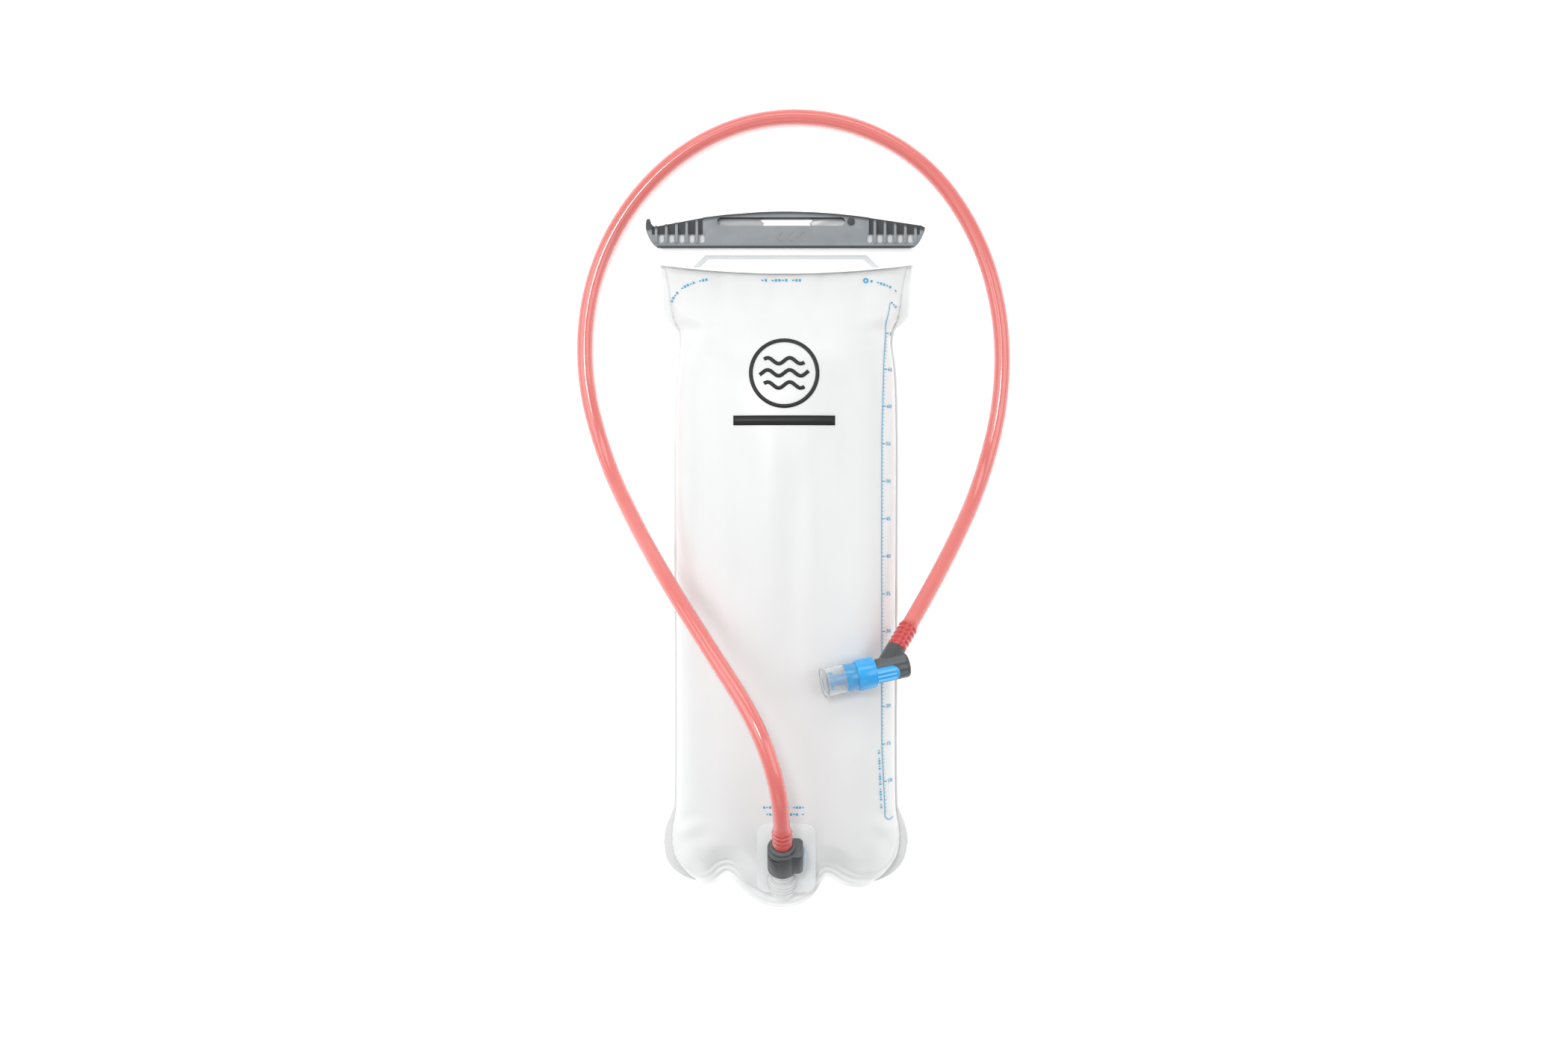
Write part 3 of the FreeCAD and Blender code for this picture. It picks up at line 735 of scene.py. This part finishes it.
def keyed(keys, y):
    """Smooth value at y from keys listed with falling y."""
    ys = np.array([k[0] for k in keys][::-1], float)
    vs = np.array([k[1] for k in keys][::-1], float)
    secant = np.diff(vs) / np.diff(ys)
    slopes = np.empty_like(vs)
    slopes[0], slopes[-1] = secant[0], secant[-1]
    product = secant[:-1] * secant[1:]
    total = np.where(product > 0, secant[:-1] + secant[1:], 1.0)
    slopes[1:-1] = np.where(product > 0, 2 * product / total, 0.0)
    y = np.clip(np.asarray(y, float), ys[0], ys[-1])
    i = np.clip(np.searchsorted(ys, y) - 1, 0, len(ys) - 2)
    h = ys[i + 1] - ys[i]
    t = (y - ys[i]) / h
    a = (1 + 2 * t) * (1 - t) ** 2
    b = t * (1 - t) ** 2 * h
    c = t * t * (3 - 2 * t)
    d = t * t * (t - 1) * h
    return a * vs[i] + b * slopes[i] + c * vs[i + 1] + d * slopes[i + 1]


# wrinkles of the front film: start, end, width, depth
CREASES = [
    ((-70, 143), (-44, 121), 3.6, 2.8), ((-66, 133), (-36, 131), 3.0, 1.8),
    ((-57, 126), (-53, 96), 4.5, 1.5), ((-70, 161), (-57, 140), 3.0, 2.0),
    ((-68, 152), (-50, 146), 2.6, 1.2), ((-61, 120), (-40, 108), 4.0, 1.2),
    ((70, 144), (46, 120), 3.8, 2.8), ((66, 134), (38, 129), 3.0, 1.6),
    ((59, 125), (55, 94), 4.4, 1.4), ((70, 161), (58, 141), 3.0, 1.9),
    ((68, 153), (52, 147), 2.6, 1.1), ((61, 119), (42, 106), 4.0, 1.1),
    ((-40, 164), (-33, 130), 4.4, 1.1), ((-8, 163), (-6, 140), 4.0, 0.7),
    ((22, 164), (18, 132), 4.4, 0.9), ((48, 163), (40, 134), 3.6, 1.0),
    ((-22, 60), (-27, -58), 7.0, 0.5), ((5, 30), (0, -104), 6.5, 0.5),
    ((27, 70), (30, -30), 7.0, 0.5), ((-44, 20), (-46, -100), 6.0, 0.4),
    ((-33.5, -186), (-31, -166), 6.5, 1.3), ((23.5, -186), (21, -167), 6.5, 1.3),
    ((-54, -186), (-50, -166), 4.0, 0.9), ((47, -187), (44, -166), 4.0, 0.9),
    ((-66, -156), (-50, -148), 3.0, 1.6), ((66, -156), (51, -147), 3.0, 1.6),
    ((-60, -166), (-44, -158), 3.4, 0.8), ((61, -167), (46, -158), 3.4, 0.8),
]


def crease_depth(x, y):
    """Sum of the wrinkles: each a groove with a low ridge on both sides, fading at its ends."""
    total = np.zeros(np.broadcast(x, y).shape)
    for (x1, y1), (x2, y2), width, depth in CREASES:
        dx, dy = x2 - x1, y2 - y1
        length = math.hypot(dx, dy)
        along = ((x - x1) * dx + (y - y1) * dy) / length ** 2
        across = ((x - x1) * dy - (y - y1) * dx) / length
        fade = eased(1.25 - along) * eased((along + 0.25) * 3.0)
        dip = np.exp(-(across / width) ** 2)
        rim = 0.45 * np.exp(-((np.abs(across) - 1.9 * width) / width) ** 2)
        total += depth * fade * (rim - dip)
    return total


def edge_points():
    """Fine points along the film's lower edge, through its given ones."""
    points = np.array(BOTTOM_EDGE, float)
    fine = []
    for i in range(len(points) - 1):
        p0, p1 = points[max(i - 1, 0)], points[i]
        p2, p3 = points[i + 1], points[min(i + 2, len(points) - 1)]
        for t in np.linspace(0, 1, 12, endpoint=False):
            fine.append(0.5 * (2 * p1 + (p2 - p0) * t + (2 * p0 - 5 * p1 + 4 * p2 - p3) * t * t
                               + (3 * p1 - p0 - 3 * p2 + p3) * t ** 3))
    fine.append(points[-1])
    return np.array(fine)


EDGE_FINE = edge_points()


def bottom_edge(x):
    """Height on the plan of the film's lower edge."""
    return np.interp(x, EDGE_FINE[:, 0], EDGE_FINE[:, 1])


def edge_gap(x, y):
    """Distance in plan from points to the film's lower edge."""
    x, y = np.asarray(x, float), np.asarray(y, float)
    nearest = np.full(x.shape, 1e9)
    for px, py in EDGE_FINE[::2]:
        nearest = np.minimum(nearest, (x - px) ** 2 + (y - py) ** 2)
    return np.sqrt(nearest)


def pinch(gap):
    """How far the film is drawn in to its lower edge: 1 at the weld, 0 well inside."""
    return eased(np.clip((20.0 - gap) / 13.0, 0, 1))


SEAL = 7.5                     # width of the welded margin under the port
SEAL_CORNER = 11.0             # and at the two bottom corners
SEAL_PITCH = 3.4               # between the lines pressed into the weld
FRONT_PINCH = 8.0              # how far each film dips towards the weld
BACK_PINCH = 3.0


def film_height(x, y, keys, power, sign):
    """Height of the film over points of the plan, and how full it is there."""
    half = keyed(FILL_HALF, y)
    side = keyed(SIDE_Z, y)
    reach = np.abs(keyed(keys, y) - side)
    share = np.clip(1 - np.clip(np.abs(x) / half, 0, 1) ** power, 0, 1) ** (1 / power)
    return side + sign * reach * share, share


def front_height(x, y):
    """Front film: filled shape, wrinkles, and a dip towards the bottom seal."""
    z, share = film_height(x, y, TOP_Z, TOP_ROUND, 1)
    z = z + crease_depth(x, y) * np.clip(share * 1.6 - 0.25, 0, 1)
    gap = edge_gap(x, y)
    z = z - FRONT_PINCH * pinch(gap) * share
    seal = SEAL + (SEAL_CORNER - SEAL) * np.clip((np.abs(x) - 26.0) / 8.0, 0, 1)
    lines = 0.45 * np.cos(2 * math.pi * gap / SEAL_PITCH) - 0.35
    emboss = np.clip((seal - gap) / 0.8, 0, 1) * lines
    return z + emboss * np.clip(3 * share, 0, 1)


def back_height(x, y):
    """Back film: flat where it lies, drawn up at the bottom seal."""
    z, share = film_height(x, y, LOW_Z, LOW_ROUND, -1)
    return z + BACK_PINCH * pinch(edge_gap(x, y)) * share


def film_panel(height):
    """Grid of one film panel from the mouth to its bottom edge."""
    turn = np.linspace(0, math.pi, PANEL_COLUMNS)
    across = -np.cos(turn)
    across = np.sign(across) * np.abs(across) ** 0.85
    points = []
    for t in np.linspace(0, 1, PANEL_ROWS):
        if t <= EAR_SHARE:
            y = np.full(PANEL_COLUMNS, MOUTH_Y + (EAR_Y - MOUTH_Y) * t / EAR_SHARE)
            x = across * keyed(OUTLINE_HALF, y)
        else:
            x = across * EAR_X
            y = EAR_Y + (bottom_edge(x) - EAR_Y) * (t - EAR_SHARE) / (1 - EAR_SHARE)
        points.append(np.column_stack([x, y]))
    xy = np.vstack(points)
    z = height(xy[:, 0], xy[:, 1])
    return np.column_stack([xy, z])


def film_piece(name, points, faces, node_name):
    """One film of the bladder, with its wall, in a frame node's place."""
    piece = mesh_piece(name, points, faces, FILM)
    thicken(piece, FILM_WALL)
    closed_up(piece)
    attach(piece, "bladder")
    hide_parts(node_name)
    return piece


def gusset_points(front, back):
    """Grid of the film folded in between the front and back margins, bowed and puckered."""
    first = -PANEL_COLUMNS * GUSSET_INSIDE
    upper = front[first:][:PANEL_COLUMNS]
    lower = back[first:][:PANEL_COLUMNS]
    points = []
    for k in range(GUSSET_ROWS):
        q = k / (GUSSET_ROWS - 1)
        fold = 1 - abs(2 * q - 1)
        for a, b in zip(upper, lower):
            x = a[0] * (1 - q) + b[0] * q
            deep = 1 - min(1.0, abs(x) / 70.0) ** 3
            puckers = 0.7 * math.sin(x * 0.42 + 1.3 * math.sin(q * 6)) * fold
            y = a[1] * (1 - q) + b[1] * q + deep * (GUSSET_DEPTH * fold ** 0.85 + puckers)
            z = a[2] * (1 - q) + b[2] * q - 0.3 + 0.6 * q
            points.append((x, y, z))
    return points


front_points = film_panel(front_height)
front_film = film_piece("front_film", front_points,
                        grid_faces(PANEL_ROWS, PANEL_COLUMNS, flip=True), "front_panel")
back_points = film_panel(back_height)
back_film = film_piece("back_film", back_points, grid_faces(PANEL_ROWS, PANEL_COLUMNS),
                       "back_panel")
fold_points = gusset_points(front_points, back_points)
gusset_film = film_piece("bottom_gusset_film", fold_points,
                         grid_faces(GUSSET_ROWS, PANEL_COLUMNS), "bottom_gusset")


def side_seam(side):
    """Narrow welded rib along one side, following the film's edge."""
    points, columns = [], 5
    ys = np.linspace(176.0, -170.0, 240)
    half = keyed(OUTLINE_HALF, ys)
    mid = keyed(SIDE_Z, ys)
    for y, h, z in zip(ys, half, mid):
        wide = 1.7 + 0.9 * math.exp(-((y - 150.0) / 14.0) ** 2)
        for c in range(columns):
            t = c / (columns - 1)
            points.append((side * (h - 1.0 + wide * t), y, z))
    name = "seam_left" if side < 0 else "seam_right"
    piece = mesh_piece(name, points, grid_faces(len(ys), columns, flip=side > 0), WELD)
    thicken(piece, SEAM_WALL, 0.0)
    closed_up(piece)
    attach(piece, "bladder")


side_seam(-1)
side_seam(1)

# ---- prints on the front film -------------------------------------------------------------


def over_film(x, y):
    """Points on the front film, raised a little square to it."""
    x, y = np.atleast_1d(np.asarray(x, float)), np.atleast_1d(np.asarray(y, float))
    step = 0.4
    z = front_height(x, y)
    dx = (front_height(x + step, y) - front_height(x - step, y)) / (2 * step)
    dy = (front_height(x, y + step) - front_height(x, y - step)) / (2 * step)
    size = np.sqrt(dx ** 2 + dy ** 2 + 1)
    return np.column_stack([x - dx / size * INK_LIFT, y - dy / size * INK_LIFT,
                            z + INK_LIFT / size])


class Ink:
    """Collects flat printed strokes and lays them on the film as one thin mesh."""

    def __init__(self):
        self.points = []
        self.faces = []

    def take(self, points, faces):
        """Adds flat faces, given as plan points and the places of each face's corners."""
        first = len(self.points)
        self.points += points
        self.faces += [tuple(first + i for i in face) for face in faces]

    def stroke(self, line, width, closed=False):
        """A band of one width along a plan line."""
        line = np.asarray(line, float)
        if closed:
            ahead = np.roll(line, -1, axis=0) - np.roll(line, 1, axis=0)
        else:
            ahead = np.gradient(line, axis=0)
        ahead /= np.linalg.norm(ahead, axis=1)[:, None]
        side = np.column_stack([-ahead[:, 1], ahead[:, 0]]) * width / 2
        points = []
        for p, d in zip(line, side):
            points += [tuple(p + d), tuple(p - d)]
        count = len(line)
        faces = []
        for i in range(count if closed else count - 1):
            j = (i + 1) % count
            faces.append((2 * i, 2 * i + 1, 2 * j + 1, 2 * j))
        self.take(points, faces)

    def dash(self, x, y, length, width, angle):
        """A short straight stroke round a middle point, at an angle in degrees."""
        c, s = math.cos(math.radians(angle)), math.sin(math.radians(angle))
        ends = np.linspace(-length / 2, length / 2, 3)
        self.stroke([(x + t * c, y + t * s) for t in ends], width)

    def figure(self, text, x, y, height):
        """Plain numerals, as flat faces from the built-in font."""
        data = bpy.data.curves.new("figure", "FONT")
        data.body = text
        data.size = height
        data.align_x = "LEFT"
        data.align_y = "CENTER"
        data.resolution_u = 2
        holder = bpy.data.objects.new("figure", data)
        bpy.context.scene.collection.objects.link(holder)
        graph = bpy.context.evaluated_depsgraph_get()
        mesh = bpy.data.meshes.new_from_object(holder.evaluated_get(graph))
        self.take([(x + v.co.x, y + v.co.y) for v in mesh.vertices],
                  [p.vertices for p in mesh.polygons])
        bpy.data.objects.remove(holder)

    def lay(self, name, colour):
        """Drops the strokes on the front film and gives the ink its thickness."""
        xy = np.array(self.points)
        piece = mesh_piece(name, over_film(xy[:, 0], xy[:, 1]), self.faces, colour)
        bm = bmesh.new()
        bm.from_mesh(piece.data)
        for face in bm.faces:
            face.normal_update()
            if face.normal.z < 0:
                face.normal_flip()
        bm.to_mesh(piece.data)
        bm.free()
        thicken(piece, INK_WALL, 1.0)
        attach(piece, "bladder")
        return piece


def curve_line(points, count=40):
    """Smooth plan line through a few points."""
    points = np.array(points, float)
    along = np.concatenate([[0], np.cumsum(np.linalg.norm(np.diff(points, axis=0), axis=1))])
    places = np.linspace(0, along[-1], count)
    order = min(3, len(points) - 1)
    xs = np.polyval(np.polyfit(along, points[:, 0], order), places)
    ys = np.polyval(np.polyfit(along, points[:, 1], order), places)
    return np.column_stack([xs, ys])


# the volume scale near the right side, from its top label down
SCALE_LINE = [(58.2, 131.0), (56.6, 112.0), (55.2, 72.0), (55.0, 0.0), (55.2, -110.0),
              (57.2, -149.0)]
SCALE_HOOKS = [
    ([(57.2, -148.6), (57.8, -151.4), (59.4, -152.6), (62.0, -151.6)], 14, 0.4),
    ([(58.2, 131.0), (58.8, 137.5), (60.2, 143.0), (60.8, 147.6)], 18, 0.35)]
SCALE_TOP_Y, SCALE_END_Y = 129.6, -149.0
SCALE_STEP = 21.65             # between two labels
SCALE_LABELS = 13
TICKS_PER_LABEL = 10
LONG_TICK, MIDDLE_TICK, SHORT_TICK = (1.6, 0.6), (1.2, 0.25), (0.8, 0.25)
LONG_OFFSET, SHORT_OFFSET = 1.1, 0.7

# rows of short strokes in place of small print: plan line, letter width, first letter
WORD_ROWS = [
    ([(-13.8, 161.2), (10.6, 161.2)], 2.0, 2), ([(62.0, 147.8), (66.0, 144.0)], 1.6, 1),
    ([(-12.4, -143.2), (13.0, -143.2)], 1.7, 1), ([(-12.4, -147.2), (13.0, -147.2)], 1.7, 4),
    ([(53.4, -112.0), (55.0, -147.0)], 1.5, 2)]
BENT_ROWS = [
    ([(-67.0, 149.6), (-64.6, 153.4), (-61.0, 156.6), (-56.3, 159.3), (-47.7, 161.5),
      (-43.4, 162.2)], 1.9, 0),
    ([(50.4, 160.9), (57.0, 159.2), (62.5, 156.8), (66.8, 153.6)], 1.9, 3)]
DOT_AT, DOT_RADIUS = (47.0, 161.4), 1.2

# the plain mark: a ring with three waves in it, and a bar under it
MARK_AT, MARK_RADIUS, MARK_LINE = (-1.0, 104.5), 19.0, 2.2
WAVE_GAP, WAVE_HEIGHT, WAVE_LINE = 7.0, 1.7, 2.1
BAR_Y, BAR_WIDTH = 77.4, 5.6


def scale_x(y):
    """Where the scale's line crosses a height on the film."""
    xs = [p[0] for p in SCALE_LINE][::-1]
    ys = [p[1] for p in SCALE_LINE][::-1]
    return float(np.interp(y, ys, xs))


def word_row(ink, line, letter, first):
    """A row of short strokes standing in for small print. Every sixth letter is a gap."""
    line = np.asarray(line, float)
    along = np.concatenate([[0], np.cumsum(np.linalg.norm(np.diff(line, axis=0), axis=1))])
    place, k = 0.0, first
    while place < along[-1] - letter:
        k += 1
        if k % 6 != 5:
            x = float(np.interp(place, along, line[:, 0]))
            y = float(np.interp(place, along, line[:, 1]))
            x2 = float(np.interp(place + 0.5, along, line[:, 0]))
            y2 = float(np.interp(place + 0.5, along, line[:, 1]))
            angle = math.degrees(math.atan2(y2 - y, x2 - x))
            ink.dash(x, y, letter * 0.62, letter * (0.75 if k % 3 else 0.35), angle)
        place += letter


def circle(centre, radius, count):
    """Plan points round a circle."""
    turn = np.linspace(0, 2 * math.pi, count, endpoint=False)
    return [(centre[0] + radius * math.cos(a), centre[1] + radius * math.sin(a)) for a in turn]


def scale_ticks(ink):
    """Ticks down the scale, grown on one point each."""
    pitch = SCALE_STEP / TICKS_PER_LABEL
    points = []
    for k in range(int((SCALE_TOP_Y - SCALE_END_Y) / pitch) + 1):
        y = SCALE_TOP_Y - k * pitch
        offset = SHORT_OFFSET if k % TICKS_PER_LABEL else LONG_OFFSET
        points.append((scale_x(y) + offset, y, 0))
    piece = mesh_piece("scale_ticks", points, [], INK_BLUE, smooth=False)
    sizes = {"Long Tick": LONG_TICK, "Middle Tick": MIDDLE_TICK, "Short Tick": SHORT_TICK}
    values = {label: (length * MM, width * MM, 1.0) for label, (length, width) in sizes.items()}
    grown(piece, tick_tree(), {**values, "Ticks per Label": TICKS_PER_LABEL,
                               "Finish": INK_BLUE})
    ink.take([(v.co.x / MM, v.co.y / MM) for v in piece.data.vertices],
             [p.vertices for p in piece.data.polygons])
    bpy.data.objects.remove(piece)


def scale_and_notes():
    """Blue print: the volume scale, its numerals and the rows of small print."""
    ink = Ink()
    ys = np.linspace(SCALE_LINE[0][1], SCALE_LINE[-1][1], 190)
    ink.stroke([(scale_x(y), y) for y in ys], 0.35)
    for hook, count, width in SCALE_HOOKS:
        ink.stroke(curve_line(hook, count), width)
    scale_ticks(ink)
    for k in range(SCALE_LABELS):
        y = SCALE_TOP_Y - k * SCALE_STEP
        ink.figure("%d" % (70 - 5 * k), scale_x(y) + 2.5, y, 3.0)
    for line, letter, first in WORD_ROWS:
        word_row(ink, line, letter, first)
    for line, letter, first in BENT_ROWS:
        word_row(ink, curve_line(line, 60), letter, first)
    ink.stroke(circle(DOT_AT, DOT_RADIUS, 24), 0.9, closed=True)
    ink.lay("scale_and_notes", INK_BLUE)


def plain_mark():
    """Black print: a ring with three waves, and a bar."""
    mark = Ink()
    mark.stroke(circle(MARK_AT, MARK_RADIUS, 96), MARK_LINE, closed=True)
    for k in (-1, 0, 1):
        half = 11.5 if k else 14.0
        middle = MARK_AT[1] + k * WAVE_GAP
        xs = np.linspace(-half, half, 40)
        mark.stroke([(MARK_AT[0] + x, middle + WAVE_HEIGHT * math.sin(x * 0.5)) for x in xs],
                    WAVE_LINE)
    mark.stroke([(x, BAR_Y) for x in np.linspace(-30.0, 28.0, 40)], BAR_WIDTH)
    mark.lay("plain_mark", INK_BLACK)


scale_and_notes()
plain_mark()

# ---- moulded parts ------------------------------------------------------------------------


def painted(piece, other, test):
    """Gives another material to the faces whose middle and normal pass a test."""
    piece.data.materials.append(other)
    index = len(piece.data.materials) - 1
    for face in piece.data.polygons:
        if test(face.center / MM, face.normal):
            face.material_index = index


# zones of the slider that get painted shade: between the ribs at both ends, and the handle's slot
RIBS_X, RIBS_Y = (49.2, 79.2), 189.2
SLOT_X, SLOT_Y = 41.0, (194.0, 199.6)
WEB_Z = 30.5                   # top of the webs that close the slot at the back
SLIDE_MARK_STEP = 6.0


def slider():
    """Slide closure, with painted shade in its recesses, on its slot walls and under its lower
    lip, and a painted light on the webs at the back of its slot.
    """
    piece = dressed("slider_bar", "slider", SLIDER_GREY, 0.5)

    def between_ribs(at, normal):
        beside = RIBS_X[0] < abs(at.x) < RIBS_X[1] and at.y > RIBS_Y
        return beside and 27.5 < at.z < 37.2 and abs(normal.z) > 0.5

    def undercut(at, normal):
        return at.y < SLIDER_FOOT + 1.1 and normal.y < -0.25

    def in_slot(at):
        return SLOT_Y[0] < at.y < SLOT_Y[1]

    def slot_wall(at, normal):
        upright = abs(normal.z) < 0.6
        return abs(at.x) < SLOT_X and in_slot(at) and at.z > WEB_Z - 0.1 and upright

    # painted shade between the ribs, under the lower lip and on the slot walls
    painted(piece, SHADE_AND_DARK_NYLON, between_ribs)
    painted(piece, SHADE_AND_DARK_NYLON, undercut)
    painted(piece, SHADE_AND_DARK_NYLON, slot_wall)
    # painted light on the webs at the back of the slot
    painted(piece, WEB_PAINTED_LIGHT, lambda at, normal: in_slot(at) and 30 < at.z < WEB_Z + 0.2)


def slide_marks():
    """Three raised chevrons that show which way the slider goes on."""
    left, tall, thick, slant = -6.0, 2.8, 1.4, 3.0
    middle = 187.8
    outline = [(left, middle), (left + slant, middle + tall),
               (left + slant + thick, middle + tall), (left + thick, middle),
               (left + slant + thick, middle - tall), (left + slant, middle - tall)]
    count = len(outline)
    points = [(x, y, z) for z in (SLIDER_FACE - 0.4, SLIDER_FACE + 0.3) for x, y in outline]
    faces = [tuple(range(count))[::-1], tuple(range(count, 2 * count))]
    for i in range(count):
        j = (i + 1) % count
        faces.append((i, j, count + j, count + i))
    piece = mesh_piece("slide_marks", points, faces, SLIDER_GREY, smooth=False)
    closed_up(piece)
    grown(piece, row_tree(), {"Count": 3, "Spacing": (SLIDE_MARK_STEP * MM, 0, 0),
                              "Finish": SLIDER_GREY})
    bevel = piece.modifiers.new("edges", "BEVEL")
    bevel.width = 0.2 * MM
    bevel.segments = 2
    baked(piece)
    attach(piece, "slider")


slider()
slide_marks()


def plain_copy(name, body, finish):
    """The frame node's own shape as a separate piece that may be deformed."""
    piece = bpy.data.objects.new(name + "_live", nodes[name].data.copy())
    bpy.context.scene.collection.objects.link(piece)
    piece.data.materials.clear()
    piece.data.materials.append(finish)
    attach(piece, body)
    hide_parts(name)
    return piece


def springs():
    """Both springs, which shorten when the button is pressed or the shut-off closes."""
    leaf = plain_copy("button_spring", "hose", STEEL)
    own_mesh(leaf)
    coil = plain_copy("poppet_spring", "bladder", STEEL)
    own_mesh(coil)


def coupling():
    """Hose coupling: a painted highlight on its end face, where it catches the light, and painted
    shade in black in two grooves on the left.
    """
    body = dressed("coupling_body", "hose", CHARCOAL, 0.5)
    # painted highlight on the end face
    painted(body, SATIN_CHARCOAL_AND_HIGHLIGHT, lambda at, normal: normal.dot(PORT_DIR) > 0.85)

    def in_groove(at, normal):
        local = PORT.inverted() @ at
        deep = math.hypot(local.x, local.y) < 8.35 and local.x < -1 and local.y < 3
        return deep and (25.4 < local.z < 26.4 or 27.9 < local.z < 29.0)

    # painted shade in the two grooves
    painted(body, BLACK_RUBBER_AND_SHADE, in_groove)
    dressed("coupling_collar", "hose", SATIN_CHARCOAL_AND_HIGHLIGHT, 0.5)
    dressed("release_button", "button", BUTTON, 0.4)


def bite_valve():
    """Elbow with a painted highlight on a saddle round its branch, and the blue head with painted
    highlights on its ridge tops.
    """
    elbow = dressed("valve_elbow", "hose", ELBOW_GREY, 0.6)

    def saddle(at, normal):
        local = VALVE.inverted() @ at
        near = at - BRANCH_ROOT
        away = (near - BRANCH_DIR * near.dot(BRANCH_DIR)).length
        return local.z < 19.5 and 5.9 < away < 8.4 and local.y > -2

    # painted highlight on the saddle round the branch
    painted(elbow, SATIN_CHARCOAL_AND_HIGHLIGHT, saddle)
    collar = dressed("valve_collar", "bite_head", BLUE, 0.4)

    def ridge_top(at, normal):
        local = VALVE.inverted() @ at
        return local.z < 19.8 and math.hypot(local.x, local.y) > 9.0

    # painted highlight on the ridge tops
    painted(collar, BLUE_RIDGE_HIGHLIGHT, ridge_top)
    dressed("valve_core", "bite_head", BLUE_CORE, 0.35)
    dressed("bite_sheath", "bite_head", SILICONE, 0.45)


def port_and_mouth():
    """Port with its patch, whose rim shows as a thin line of painted shade, and the flap at the
    mouth.
    """
    dressed("port_body", "bladder", CLEAR, 0.3)
    patch = dressed("port_patch", "bladder", PATCH, 0.25, angle=50)
    # painted shade on the patch's rim
    painted(patch, BAND_AND_RIM_SHADE, lambda at, normal: abs(normal.z) < 0.8)
    dressed("fold_flap", "bladder", FLAP, 0.2)
    dressed("flap_stiffener", "bladder", BAND_AND_RIM_SHADE, 0.15)


dressed("tether_pin", "slider", SHADE_AND_DARK_NYLON, 0.3)
springs()
coupling()
bite_valve()
port_and_mouth()


NECK_RINGS = 4
NECK_RING_LOW, NECK_RING_PITCH = -6.4, 2.9
NECK_RING_INNER, NECK_RING_OUTER, NECK_RING_TALL = 6.6, 8.0, 1.4


def port_rings():
    """Rings moulded round the foot of the neck."""
    for k in range(NECK_RINGS):
        low = NECK_RING_LOW + NECK_RING_PITCH * k
        high = low + NECK_RING_TALL
        outline = rounded([(NECK_RING_INNER, low), (NECK_RING_OUTER, low),
                           (NECK_RING_OUTER, high), (NECK_RING_INNER, high)], 0.5)
        ring = lathe("neck_ring_%d" % (k + 1), outline, PORT, CLEAR)
        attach(ring, "bladder")


port_rings()


def mouth_slit_shade():
    """Painted shade: a dark box for the shadow in the slit across the end of the bite sheath."""
    end = VALVE_L + 0.02
    half_long, half_wide = 4.4, 0.14
    corners = [(-half_long, -half_wide), (half_long, -half_wide), (half_long, half_wide),
               (-half_long, half_wide)]
    points = [VALVE @ Vector((x, y, z)) for z in (end - 1.0, end) for x, y in corners]
    faces = [(0, 3, 2, 1), (4, 5, 6, 7), (0, 1, 5, 4), (1, 2, 6, 5), (2, 3, 7, 6), (3, 0, 4, 7)]
    slit = mesh_piece("mouth_slit_shade", points, faces, SHADE_AND_DARK_NYLON, smooth=False)
    closed_up(slit)
    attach(slit, "bite_head")


mouth_slit_shade()

# ---- finish -------------------------------------------------------------------------------

# frame nodes that show as they are
PLAIN = {
    "mouth_rail_back": WHITE, "mouth_rail_front": WHITE, "port_o_ring": BLACK_RUBBER_AND_SHADE,
    "port_poppet": WHITE, "coupling_seal": BLACK_RUBBER_AND_SHADE, "coupling_barb": CHARCOAL,
    "elbow_o_ring": BLACK_RUBBER_AND_SHADE, "latch_plate": WHITE,
}
for name, finish in PLAIN.items():
    piece = nodes[name]
    piece.data.materials.clear()
    piece.data.materials.append(finish)
